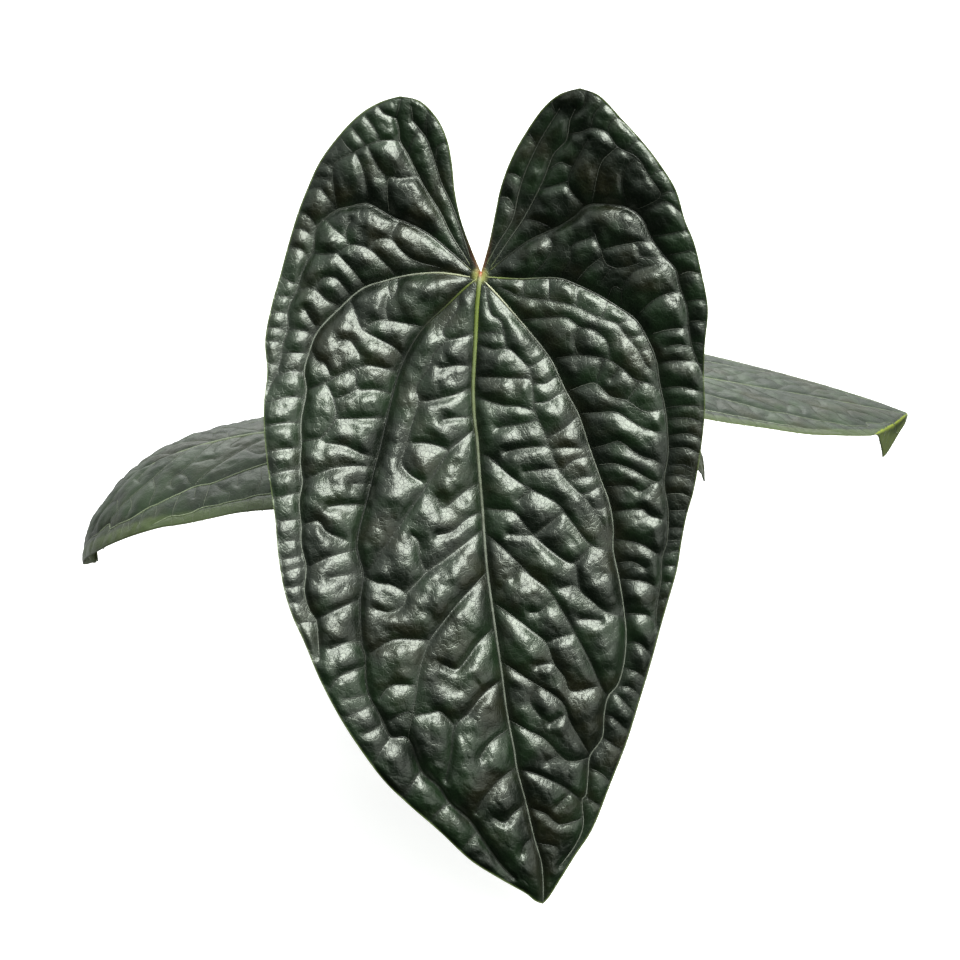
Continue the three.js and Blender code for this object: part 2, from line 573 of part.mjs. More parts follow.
// A closed tube along a curve, with a slightly square section whose radius follows radiusAt(0 to 1)
function stalkGeometry(points, steps, sides, radiusAt, square = 0.07) {
  const path = new THREE.CatmullRomCurve3(points.map((p) => new THREE.Vector3(...p)));
  const frames = path.computeFrenetFrames(steps, false);
  const rings = frames.normals.map((normal, i) => Array.from({ length: sides }, (_, k) => {
    const angle = (k / sides) * 2 * Math.PI;
    const radius = radiusAt(i / steps) * (1 + square * Math.cos(4 * angle));
    return path.getPointAt(i / steps)
      .addScaledVector(normal, radius * Math.cos(angle))
      .addScaledVector(frames.binormals[i], radius * Math.sin(angle));
  }));
  const triangles = [];
  for (let k = 0; k < sides; k++) {
    const next = (k + 1) % sides;
    triangles.push(path.getPointAt(0), rings[0][next], rings[0][k]);
    triangles.push(path.getPointAt(1), rings[steps][k], rings[steps][next]);
    for (let i = 0; i < steps; i++) {
      triangles.push(rings[i][k], rings[i][next], rings[i + 1][next]);
      triangles.push(rings[i][k], rings[i + 1][next], rings[i + 1][k]);
    }
  }
  return geometryFrom(triangles);
}

function solid(geometry) {
  const bare = geometry.clone();
  bare.deleteAttribute('normal');
  bare.deleteAttribute('uv');
  const merged = mergeVertices(bare, sameSpot);
  const vertProperties = new Float32Array(merged.attributes.position.array);
  const triVerts = new Uint32Array(merged.index.array);
  return new wasm.Manifold(new wasm.Mesh({ numProp: 3, vertProperties, triVerts }));
}

function geometryOf(manifold) {
  const { vertProperties, triVerts, numProp } = manifold.getMesh();
  const geometry = new THREE.BufferGeometry();
  const positions = new Float32Array((vertProperties.length / numProp) * 3);
  for (let i = 0; i < positions.length / 3; i++) {
    positions.set(vertProperties.subarray(i * numProp, i * numProp + 3), i * 3);
  }
  geometry.setAttribute('position', new THREE.BufferAttribute(positions, 3));
  geometry.setIndex(new THREE.BufferAttribute(triVerts, 1));
  return geometry;
}

// What a cut leaves of a stalk, without scraps beyond the cutting piece
function largestPiece(manifold) {
  return manifold.decompose().reduce((best, piece) => (piece.volume() > best.volume() ? piece : best));
}

// Lathe about +Z of a closed or axis-to-axis profile of [radius, height] pairs
function turned(profile, sides) {
  const points = profile.map(([radius, height]) => new THREE.Vector2(radius, height));
  return new THREE.LatheGeometry(points, sides).rotateX(90 * degrees);
}

// Pot: a tapered wall with a thick straight rim band, and drain holes round a solid flat centre
function innerRadius(height) {
  const slope = (potNeckRadius - potFootRadius) / (potHeight - rimHeight);
  return potFootRadius + slope * height - potWall;
}

function makePot() {
  const band = potHeight - rimHeight;
  const profile = [
    [0, 0], [potFootRadius - 1.2, 0], [potFootRadius, 1.4], [potNeckRadius, band - 1],
    [potRimRadius - 0.6, band], [potRimRadius, band + 1],
    [potRimRadius, potHeight - 1], [potRimRadius - 0.8, potHeight],
    [innerRadius(potHeight) + 0.8, potHeight], [innerRadius(potHeight), potHeight - 1],
    [innerRadius(potFloor), potFloor], [0, potFloor],
  ];
  let pot = solid(turned(profile, potSides));
  for (let i = 0; i < drainHoles.count; i++) {
    const angle = (i / drainHoles.count) * 2 * Math.PI;
    const hole = new THREE.CylinderGeometry(drainHoles.radius, drainHoles.radius, 4 * potFloor, 12);
    hole.rotateX(90 * degrees);
    hole.translate(drainHoles.ring * Math.cos(angle), drainHoles.ring * Math.sin(angle), 0);
    pot = pot.subtract(solid(hole));
  }
  return geometryOf(pot);
}

// Stem: rings of old leaf scars, and roots that arch from it down into the mix
function makeStem(grow) {
  const [x, y] = stemAt;
  const axis = [[x, y, stemFoot - grow], [x, y, 92], [x - 0.6, y + 0.5, 106], [x, y + 1, stemTop + grow]];
  const radiusAt = (t) => {
    const height = t * (stemTop - stemFoot);
    const scar = Math.abs(Math.cos((height / scarSpacing) * Math.PI)) ** 4;
    const taper = Math.min(1, 0.55 + 3 * t) * Math.min(1, 0.5 + 4 * (1 - t));
    return stemRadius * taper + 0.7 * scar + grow;
  };
  let stem = solid(stalkGeometry(axis, 18, 10, radiusAt, 0));
  for (const root of aerialRoots) {
    const [c, s] = [Math.cos(root.heading * degrees), Math.sin(root.heading * degrees)];
    const dive = soilLevel - 12 - root.start;
    const route = [[3, 0], [0.62 * root.reach, 1.5], [root.reach, -6], [root.reach + 1.5, dive]];
    const points = route.map(([out, rise]) => [x + c * out, y + s * out, root.start + rise]);
    stem = stem.add(solid(stalkGeometry(points, 7, 5, (t) => root.radius * (1 - 0.35 * t) + grow, 0)));
  }
  return stem;
}

// Potting mix: fills the pot to its floor, with a lumpy top and a hole for the stem and its roots
function makeSoil() {
  const wall = (height) => innerRadius(height) - gap;
  const top = Array.from({ length: soilRings }, (_, i) => [wall(soilLevel) * (1 - i / soilRings), soilLevel]);
  const bottom = potFloor + gap;
  const geometry = turned([[0, bottom], [wall(bottom), bottom], ...top, [0, soilLevel]], soilSides);
  const position = geometry.attributes.position;
  for (let i = 0; i < position.count; i++) {
    const [x, y, z] = [position.getX(i), position.getY(i), position.getZ(i)];
    const inland = Math.min(1, (wall(soilLevel) - Math.hypot(x, y)) / 6);
    if (z > soilLevel - 0.01 && inland > 0.01) {
      const across = Math.sin(0.61 * x + 1.3 * Math.sin(0.37 * y));
      const along = Math.sin(0.53 * y + 1.7 * Math.sin(0.43 * x));
      position.setZ(i, z + 0.5 * soilBump * (across + along) * inland);
    }
  }
  return geometryOf(solid(geometry).subtract(makeStem(gap)));
}

const places = { main: mainLeafPlace };
for (const [name, leaf] of Object.entries(sideLeaves)) {
  places[name] = leaf.fold ? foldedPlace(leaf, archedPlace(leaf)) : archedPlace(leaf);
}
const raisedOf = (name) => (name === 'main' ? 1 : sideLeaves[name].scale * sideLeaves[name].pucker);
const mirrored = (name) => name !== 'main' && sideLeaves[name].mirror > 0;
const grids = { main: mainGrid, left: sideGrid, right: sideGrid, back: backGrid };

function makeBlade(name) {
  const lower = name === 'main' ? bladeThickness : sideBladeThickness;
  const sheet = { raised: raisedOf(name), upper: 0, lower, mirrored: mirrored(name) };
  return bladeGeometry(grids[name], places[name], sheet);
}

// Petiole: from the stem to the midrib just below the notch, cut to both by the gap
function makePetiole(name) {
  const { radius, knee, joint, through } = petioles[name];
  const { point, normal } = places[name](-0.5, -jointBelowNotch);
  const end = point.clone().addScaledVector(normal, 1).toArray();
  const points = [petioleFoot[name], ...through, end];
  const length = new THREE.CatmullRomCurve3(points.map((p) => new THREE.Vector3(...p))).getLength();
  const radiusAt = (t) => {
    const fromTop = (1 - t) * length;
    const fromFoot = t * length;
    const thickened = (knee - radius) * Math.exp(-((fromTop / joint) ** 4));
    return radius + thickened + petioleFlare * Math.exp(-((fromFoot / 9) ** 2));
  };
  const lower = (name === 'main' ? bladeThickness : sideBladeThickness) + gap;
  const sheet = { raised: raisedOf(name), upper: 8, lower, mirrored: mirrored(name) };
  const above = solid(bladeGeometry(grids[name], places[name], sheet));
  const stalk = solid(stalkGeometry(points, 14, 8, radiusAt));
  return geometryOf(largestPiece(stalk.subtract(above).subtract(makeStem(gap))));
}

// Sheath: a pointed papery roll that leans away from the petioles
function makeSheath() {
  const radiusAt = (t) => sheath.radius * (1 - t ** 2) + 0.35;
  const roll = solid(stalkGeometry(sheath.through, 10, 8, radiusAt));
  return geometryOf(largestPiece(roll.subtract(makeStem(gap))));
}

const finishes = {
  pot: { color: 0x1c1c1b, roughness: 0.55 },
  soil: { color: 0x3a2c20, roughness: 0.95 },
  stem: { color: 0x6d5f3f, roughness: 0.85 },
  leaf: { color: 0x26301f, roughness: 0.4 },
  petiole: { color: 0x5f7d3a, roughness: 0.5 },
  sheath: { color: 0x8a7a4c, roughness: 0.75 },
};

const plant = new THREE.Group();

function place(name, geometry, finish) {
  const material = new THREE.MeshStandardMaterial({ metalness: 0, ...finishes[finish] });
  const mesh = new THREE.Mesh(geometry, material);
  mesh.name = name;
  plant.add(mesh);
}

place('pot', makePot(), 'pot');
place('soil', makeSoil(), 'soil');
place('stem', geometryOf(makeStem(0)), 'stem');
for (const name of ['main', 'left', 'right', 'back']) {
  place(`${name}_leaf_blade`, makeBlade(name), 'leaf');
  place(`${name}_leaf_petiole`, makePetiole(name), 'petiole');
}
place('new_leaf_sheath', makeSheath(), 'sheath');

export default plant;
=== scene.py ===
# A potted Anthurium luxurians: dark puckered heart-shaped leaves on a short stem, in a plain nursery pot.
# Shapes are worked out in millimetres and put into the meshes in metres.
import math
import bpy
import numpy as np
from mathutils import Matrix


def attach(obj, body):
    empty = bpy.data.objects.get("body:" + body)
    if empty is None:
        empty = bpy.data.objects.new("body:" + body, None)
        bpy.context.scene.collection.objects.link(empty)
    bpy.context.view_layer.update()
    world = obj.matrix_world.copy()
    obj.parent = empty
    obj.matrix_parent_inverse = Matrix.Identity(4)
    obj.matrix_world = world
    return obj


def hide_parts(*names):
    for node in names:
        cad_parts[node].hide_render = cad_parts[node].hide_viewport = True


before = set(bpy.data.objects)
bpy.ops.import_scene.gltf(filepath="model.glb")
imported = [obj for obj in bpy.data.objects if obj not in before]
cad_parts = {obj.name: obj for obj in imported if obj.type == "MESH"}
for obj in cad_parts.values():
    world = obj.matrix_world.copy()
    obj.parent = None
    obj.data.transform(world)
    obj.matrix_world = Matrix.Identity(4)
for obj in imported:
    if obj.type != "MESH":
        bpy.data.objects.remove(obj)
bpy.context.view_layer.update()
mm = 0.001


def unit(v):
    return v / np.linalg.norm(v, axis=-1, keepdims=True)


def bell(distance, width):
    # e to the power of minus (distance / width) squared
    return np.exp(-(distance / width) ** 2)


def joined(*columns):
    # columns as the last axis of one array
    return np.stack(np.broadcast_arrays(*columns), axis=-1)


def smoothLine(points, step=None, count=None):
    # Catmull-Rom through the points, (2b + (c-a)t + (2a-5b+4c-d)t^2 + (3b-a-3c+d)t^3) / 2, at even arcs
    p = np.asarray(points, float)
    q = np.vstack([p[:1], p, p[-1:]])
    a, b, c, d = q[:-3, None], q[1:-2, None], q[2:-1, None], q[3:, None]
    t = np.linspace(0, 1, 24, endpoint=False)[None, :, None]
    dense = (2 * b + (c - a) * t + (2 * a - 5 * b + 4 * c - d) * t**2 + (3 * b - a - 3 * c + d) * t**3) / 2
    dense = np.vstack([dense.reshape(-1, p.shape[1]), p[-1:]])
    arc = np.r_[0, np.cumsum(np.linalg.norm(np.diff(dense, axis=0), axis=1))]
    count = count or max(2, math.ceil(arc[-1] / step))
    stations = np.linspace(0, arc[-1], count + 1)
    return joined(*(np.interp(stations, arc, column) for column in dense.T))


# Camera, light and floor: the view is square on to the largest leaf, which is tilted back
view = dict(
    notch=(-2.0, -39.0, 205.0), tilt=30.0, distance=800.0, axisBelowNotch=70.72, halfWidth=163.2,
)
leafRight = np.array([1.0, 0.0, 0.0])
leafUp = np.array([0.0, math.sin(math.radians(view["tilt"])), math.cos(math.radians(view["tilt"]))])
leafOut = np.cross(leafRight, leafUp)
eye = np.array(view["notch"]) - view["axisBelowNotch"] * leafUp + view["distance"] * leafOut

cameraData = bpy.data.cameras.new("camera")
cameraData.sensor_fit = "HORIZONTAL"
cameraData.angle = 2 * math.atan(view["halfWidth"] / view["distance"])
camera = bpy.data.objects.new("camera", cameraData)
camera.location = eye * mm
camera.rotation_euler = (math.radians(90 - view["tilt"]), 0, 0)
bpy.context.collection.objects.link(camera)
bpy.context.scene.camera = camera

studio = dict(
    lamps=dict(
        key=dict(at=(0.45, -0.43, 1.09), aim=(0, -0.07, 0.15), size=0.75, power=23.5),
        fill=dict(at=(0.95, -0.7, 0.3), aim=(0, -0.07, 0.15), size=1.0, power=3.0),
        back=dict(at=(-0.1, 1.5, 0.85), aim=(0, 0, 0.12), size=1.4, power=7.0),
    ),
    zenith=(1.0, 1.04, 1.04), front=(0.03, 0.033, 0.03), behind=(0.8, 0.82, 0.8),
    floorFront=(0.008, 0.008, 0.008), floorBehind=(0.6, 0.62, 0.6), rise=1.3,
    floorReach=6.0, floorGlow=0.75, wallRadius=5.0, wallHeight=6.0, wallGlow=0.9, wallSides=96,
)


def areaLight(name, at, aim, size, power):
    # a soft square of light at one point, facing another
    data = bpy.data.lights.new(name, "AREA")
    data.size = size
    data.energy = power
    lamp = bpy.data.objects.new(name, data)
    lamp.location = at
    away = np.array(at) - np.array(aim)
    turn = math.atan2(away[1], away[0]) + math.pi / 2
    lamp.rotation_euler = (math.acos(away[2] / np.linalg.norm(away)), 0, turn)
    bpy.context.collection.objects.link(lamp)


for lampName, lamp in studio["lamps"].items():
    areaLight(lampName, **lamp)
bpy.context.scene.view_settings.view_transform = "Standard"
print("camera and lights ready")


markLayers = ("marks", "tints")


class Wire:
    # a socket whose arithmetic adds Math nodes
    def __init__(self, finish, socket):
        self.finish, self.socket = finish, socket

    def math(self, operation, *values):
        return self.finish.add("ShaderNodeMath", dict(operation=operation), dict(enumerate(values)))

    def __add__(self, other):
        return self.math("ADD", self, other)

    def __rsub__(self, other):
        return self.math("SUBTRACT", other, self)

    def __mul__(self, other):
        return self.math("MULTIPLY", self, other)

    def __pow__(self, other):
        return self.math("POWER", self, other)

    __radd__ = __add__
    __rmul__ = __mul__

    def between(self, low, high):
        # smoothly from 0 at low to 1 at high
        limits = {"Value": self, "From Min": low, "From Max": high}
        return self.finish.add("ShaderNodeMapRange", dict(interpolation_type="SMOOTHSTEP"), limits)


class Finish:
    # one material: its nodes, and the principled shader that they feed
    def __init__(self, name, **uniform):
        self.material = bpy.data.materials.new(name)
        self.material.use_nodes = True
        self.tree = self.material.node_tree
        self.shader = self.tree.nodes["Principled BSDF"]
        for socket, value in uniform.items():
            self.shader.inputs[socket.replace("_", " ")].default_value = value

    def add(self, kind, settings, inputs, output=0):
        node = self.tree.nodes.new(kind)
        for key, value in settings.items():
            setattr(node, key, value)
        for key, value in inputs.items():
            self.join(node.inputs[key], value)
        return Wire(self, node.outputs[output])

    def join(self, socket, value):
        if isinstance(value, Wire):
            self.tree.links.new(value.socket, socket)
        elif socket.type == "RGBA":
            socket.default_value = (*value, 1)
        else:
            socket.default_value = value

    def places(self, stretch=(1, 1, 1)):
        # the place on the piece, by which every pattern is laid
        place = self.add("ShaderNodeTexCoord", {}, {}, "Object")
        return self.add("ShaderNodeMapping", {}, {"Vector": place, "Scale": stretch})

    def noise(self, size, detail=3, stretch=(1, 1, 1)):
        # cloudy noise from 0 to 1, with patches of about size millimetres
        inputs = {"Vector": self.places(stretch), "Scale": 1 / (size * mm), "Detail": detail}
        return self.add("ShaderNodeTexNoise", {}, inputs)

    def cells(self, size, feature="F1"):
        # the distance within cells of about size millimetres
        inputs = {"Vector": self.places(), "Scale": 1 / (size * mm)}
        return self.add("ShaderNodeTexVoronoi", dict(feature=feature), inputs, "Distance")

    def marks(self, *numbers):
        # the wires of some of a point's six marks, which Parts writes
        wires = []
        for number in numbers:
            layer = dict(attribute_name=markLayers[number // 3])
            colour = self.add("ShaderNodeAttribute", layer, {}, "Color")
            wires.append(self.add("ShaderNodeSeparateColor", {}, {"Color": colour}, number % 3))
        return wires

    def mix(self, amount, low, high):
        # sockets 6 and 7 are the two colours, and output 2 is the mixed one
        return self.add("ShaderNodeMix", dict(data_type="RGBA"), {0: amount, 6: low, 7: high}, 2)

    def layered(self, tone, *coats):
        # a tone under coats, each of them an amount and a colour
        for amount, colour in coats:
            tone = self.mix(amount, tone, colour)
        return tone

    def bump(self, height, depth, under=None):
        # a height from 0 to 1 that stands for depth millimetres
        inputs = {"Height": height, "Strength": 1.0, "Distance": depth * mm}
        return self.add("ShaderNodeBump", {}, {**inputs, "Normal": under} if under else inputs)

    def feed(self, **inputs):
        for socket, value in inputs.items():
            self.join(self.shader.inputs[socket.replace("_", " ")], value)
        return self.material


class Sky(Finish):
    # the light from all round, as a background in place of a material
    def __init__(self, name):
        self.material = bpy.data.worlds.new(name)
        self.material.use_nodes = True
        self.tree = self.material.node_tree
        self.shader = self.tree.nodes["Background"]


def studioSky():
    # pale behind the plant and dim on the viewer's side, and brighter with a power of the height overhead
    sky = Sky("studio")
    place = sky.add("ShaderNodeTexCoord", {}, {}, "Generated")
    depth, height = (sky.add("ShaderNodeSeparateXYZ", {}, {"Vector": place}, axis) for axis in (1, 2))
    behind = depth.between(-0.1, 0.6)
    wall = sky.mix(behind, studio["front"], studio["behind"])
    ground = sky.mix(behind, studio["floorFront"], studio["floorBehind"])
    lifted = height.math("MAXIMUM", height, 0.0) ** studio["rise"]
    upper = sky.mix(lifted, wall, studio["zenith"])
    return sky.feed(Color=sky.mix(height.between(-0.02, 0.02), ground, upper))


def studioPaper(name, glow):
    paper = Finish(name, Roughness=0.95, Emission_Strength=glow)
    tone = paper.mix(paper.noise(400), (0.87, 0.87, 0.87), (0.9, 0.9, 0.895))
    return paper.feed(Base_Color=tone, Emission_Color=tone)


def stagePiece(name, points, faces, glow):
    # paper that the camera sees and that throws no light at the leaves
    mesh = bpy.data.meshes.new(name)
    mesh.from_pydata([tuple(point) for point in points], [], faces)
    mesh.materials.append(studioPaper(f"{name}_paper", glow))
    piece = bpy.data.objects.new(name, mesh)
    bpy.context.collection.objects.link(piece)
    piece.visible_diffuse = piece.visible_glossy = piece.visible_transmission = False
    return piece


bpy.context.scene.world = studioSky()
floorCorners = [(x * studio["floorReach"], y * studio["floorReach"], 0) for x, y in (
    (-1, -1), (1, -1), (1, 1), (-1, 1))]
stagePiece("floor", floorCorners, [(0, 1, 2, 3)], studio["floorGlow"])

# a round wall of the same paper: a ring of points at the floor and one high above it. It shades nothing
sides = studio["wallSides"]
turns = np.linspace(0, 2 * np.pi, sides, endpoint=False)
ring = joined(np.cos(turns), np.sin(turns), 0) * studio["wallRadius"]
wallPoints = np.concatenate([ring, ring + (0, 0, studio["wallHeight"])])
wallFaces = [(k, k + sides, (k + 1) % sides + sides, (k + 1) % sides) for k in range(sides)]
wallPaper = stagePiece("wall", wallPoints, wallFaces, studio["wallGlow"])
wallPaper.visible_shadow = False


# Meshes from whole arrays
class Parts:
    # points, faces and marks that are gathered for one mesh
    def __init__(self):
        self.points, self.faces, self.marks, self.folded, self.count = [], [], [], [], 0

    def add(self, points, *groups, marks=None, folded=None):
        # a group is (faces that count from the first of these points, finish, smooth), and an edge between
        # two folded points is a sharp one
        points = np.asarray(points).reshape(-1, 3)
        self.faces += [(corners + self.count, finish, smooth) for corners, finish, smooth in groups]
        self.marks.append(np.zeros((len(points), 6)) if marks is None else np.asarray(marks).reshape(-1, 6))
        self.folded.append(np.zeros(len(points), bool) if folded is None else folded)
        self.points.append(points)
        self.count += len(points)

    def addForm(self, points, faces, marks=None, finish=0, smooth=True):
        # a closed form with one finish
        self.add(points, *[(group, finish, smooth) for group in faces], marks=marks)

    def build(self, name, finishes, slot, *replaced):
        # the six marks of each point go into two colours; points without a face are dropped
        corners = np.concatenate([group.ravel() for group, _, _ in self.faces])
        used, corners = np.unique(corners, return_inverse=True)
        points = np.concatenate(self.points)[used]
        marks = np.concatenate(self.marks)[used]
        sizes = np.concatenate([np.full(len(group), group.shape[1]) for group, _, _ in self.faces])
        mesh = bpy.data.meshes.new(name)
        mesh.vertices.add(len(points))
        mesh.vertices.foreach_set("co", (points * mm).astype(np.float32).ravel())
        mesh.loops.add(len(corners))
        mesh.loops.foreach_set("vertex_index", corners.ravel().astype(np.int32))
        mesh.polygons.add(len(sizes))
        mesh.polygons.foreach_set("loop_start", np.r_[0, np.cumsum(sizes)[:-1]].astype(np.int32))
        for key, column in (("material_index", 1), ("use_smooth", 2)):
            values = np.concatenate([np.full(len(group[0]), group[column]) for group in self.faces])
            mesh.polygons.foreach_set(key, values)
        for key, first in zip(markLayers, (0, 3)):
            layer = mesh.attributes.new(key, "FLOAT_COLOR", "POINT")
            colours = np.concatenate([marks[:, first:first + 3], np.ones((len(points), 1))], axis=1)
            layer.data.foreach_set("color", colours.astype(np.float32).ravel())
        for finish in finishes:
            mesh.materials.append(finish)
        mesh.update(calc_edges=True)
        mesh.validate()
        ends = np.zeros(2 * len(mesh.edges), np.int32)
        mesh.edges.foreach_get("vertices", ends)
        sharp = np.concatenate(self.folded)[used][ends].reshape(-1, 2).all(axis=1)
        mesh.attributes.new("sharp_edge", "BOOLEAN", "EDGE").data.foreach_set("value", sharp)
        piece = bpy.data.objects.new(name, mesh)
        bpy.context.collection.objects.link(piece)
        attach(piece, "root")
        if replaced:
            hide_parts(*replaced)
        print(f"{name}: {int((sizes - 2).sum())} triangles")
        return piece


def singleForm(name, solid, finish, slot, points, faces, marks=None):
    # a piece made of one closed form, in the place of one solid
    parts = Parts()
    parts.addForm(points, faces, marks)
    return parts.build(name, [finish], slot, solid)


def angles(count):
    return np.arange(count) / count * 2 * np.pi


def gridQuads(index):
    # the four corners of each tile of a grid of point numbers, whose last column joins the first
    index = np.concatenate([index, index[:, :1]], axis=1)
    return joined(index[:-1, :-1], index[:-1, 1:], index[1:, 1:], index[1:, :-1]).reshape(-1, 4)


def sixMarks(*columns):
    # a table of marks for points, of which the first ones are given and the rest are 0
    return joined(*columns, *[0] * (6 - len(columns)))


def framesAlong(path, up):
    # the side is ahead x up, where up is a direction or one for each point of the path
    ahead = unit(np.gradient(path, axis=0))
    side = unit(np.cross(ahead, up))
    return side, np.cross(side, ahead)


def tube(path, radius, sides, up, square=0.0, flat=1.0):
    # path + r (1 + square cos 4a)(side cos a + flat up sin a), closed by a fan round each end
    side, rise = framesAlong(path, up)
    angle = angles(sides)
    r = (np.ones(len(path)) * radius)[:, None, None] * (1 + square * np.cos(4 * angle))[None, :, None]
    ring = side[:, None] * np.cos(angle)[None, :, None] + flat * rise[:, None] * np.sin(angle)[None, :, None]
    return closedTube(path[:, None] + r * ring)


def closedTube(grid, ends=None):
    # faces between the rings of a grid and a fan round each end's middle, or round ends that are given. Then
    # the rings run the other way round, and so do the faces
    rows, sides = grid.shape[:2]
    points = np.concatenate([grid.reshape(-1, 3), grid[[0, -1]].mean(axis=1) if ends is None else ends])
    index = np.arange(rows * sides).reshape(rows, sides)
    around = np.roll(index, -1, axis=1)
    one, other = (index, around) if ends is None else (around, index)
    near, far = joined(index.size, one[0], other[0]), joined(index.size + 1, other[-1], one[-1])
    quads = gridQuads(index)
    return points, [quads[:, ::-1] if ends is None else quads, near, far]


# The leaf, drawn flat at the size of the largest one: outline and veins in pixels of the photograph
leaf = dict(
    notchPixel=(480, 272), pixels=815, length=277.1, reach=215.0, halfWidth=75.0,
    cell=0.5, border=6.0, lobeShare=0.24,
    # the skin that is blown up between the veins
    holdStiff=45.0, holdWidth=0.55, passes=1500,
    # its relief: waves, uneven and warp are a size and an amount, and calmWidth is how far veins calm them
    crispness=1.2, swellCrispness=3.0, pillow=0.52, swell=0.34, ribDip=0.25, ribWidth=0.9,
    creaseDip=0.15, creaseWidth=0.6, netCell=4.6, netDip=0.18, netWidth=0.6,
    waves=((4.0, 0.24), (1.9, 0.07)), uneven=(7, 0.12), warp=(4, 0.9), calmWidth=1.6,
    # how near a vein points are drawn to it and edges are sharp, the thinner margin, and the flap's start
    drawnWithin=0.8, foldedWithin=0.13, thinner=0.3, thinWidth=2.5, flapFrom=0.2,
)
# How far a leaf's marks reach from their line or point; net and notchEdgeShare are strengths, and a patch
# is a size and an amount. Crease and net set the painted shade along the creases and the fine net
markWidths = dict(
    rib=0.8, crease=0.5, net=0.4, glowBelow=1.2, glow=2.6, notch=1.1, notchEdge=0.8, notchReach=9,
    notchEdgeShare=0.55, patches=((16, 0.2), (5, 0.15)),
)


def polylines(text):
    # "column,row" pairs, as millimetres from the notch with +y towards the lobes
    routes = [[tuple(map(int, point.split(","))) for point in route.split()] for route in text.split(";")]
    scale = leaf["length"] / leaf["pixels"] * np.array([1, -1])
    return [(np.array(route, float) - leaf["notchPixel"]) * scale for route in routes]


leftEdge = polylines("""
  481,272 471,248 461,220 455,192 452,163 447,139 437,118 420,101 400,96 380,102 360,114 340,134 320,161
  307,189 297,215 288,245 280,275 271,307 265,340 267,372 264,400 264,430 267,462 271,490 275,520 278,555
  284,590 293,618 304,642 320,680 340,718 362,752 385,782 410,806 440,832 470,860 500,879 525,893 535,901
  543,904""")[0]
rightEdge = polylines("""
  481,272 489,243 495,214 501,186 512,157 526,132 543,108 560,94 580,88 600,96 622,119 643,142 660,164
  676,190 685,220 694,242 701,270 708,308 705,345 704,378 705,410 701,450 694,490 687,515 682,540 677,570
  668,602 660,630 652,660 640,700 627,742 611,783 593,828 575,856 560,880 550,896 543,904""")[0]
midrib = polylines("""
  480,276 477,305 475,345 473,385 474,415 477,440 479,470 482,505 484,535 487,570 491,600 496,635 501,668
  505,700 509,725 514,750 517,770 525,800 534,838 541,862 543,884 543,901""")[0]
leftRibs = polylines("""
  476,279 465,288 443,309 424,327 410,348 399,372 390,405 381,443 374,470 366,503 359,530 357,549 363,574
  360,600 361,640 365,657 366,682 371,700 380,716 391,737 408,739 421,770 438,786 450,803 470,821 485,843
  500,864 514,878;
  470,277 440,273 410,275 385,281 362,289 340,308 318,331 309,352 304,372 306,391 301,420 301,445 300,462
  302,483 299,502 301,527 301,545 306,568 304,590 309,610 316,621 318,640 319,658;
  471,270 452,253 430,235 410,224 390,216 368,204 348,207 335,211 317,227 313,250 303,270 297,290 288,310
  288,328 282,348 279,366 268,391;
  470,265 452,236 440,212 429,195 419,177 408,155 400,141 399,130 396,118;
  470,258 460,228 453,208 447,195 441,182 435,163 427,140 420,130 413,121""")
rightRibs = polylines("""
  484,281 500,298 520,321 540,345 552,362 565,390 578,414 590,450 600,478 609,503 613,527 613,551 619,579
  624,612 626,636 624,662 618,684 608,697 604,715 602,738 590,756 588,775 586,795 582,801 583,826 575,846
  560,866;
  486,277 520,279 555,278 575,284 598,295 618,307 636,320 648,340 656,360 660,385 666,415 668,452 664,482
  668,510 667,541 662,558 661,580 657,605 656,628;
  489,271 508,256 530,240 560,226 575,216 585,207 597,204 625,207 642,219 651,238 664,256 676,270 679,284
  687,308 689,328 693,350 704,376;
  490,268 508,241 523,219 535,197 544,178 553,155 565,142 568,133 570,120 575,109;
  486,265 497,245 512,220 518,195 525,172 538,144 551,122 560,108""")
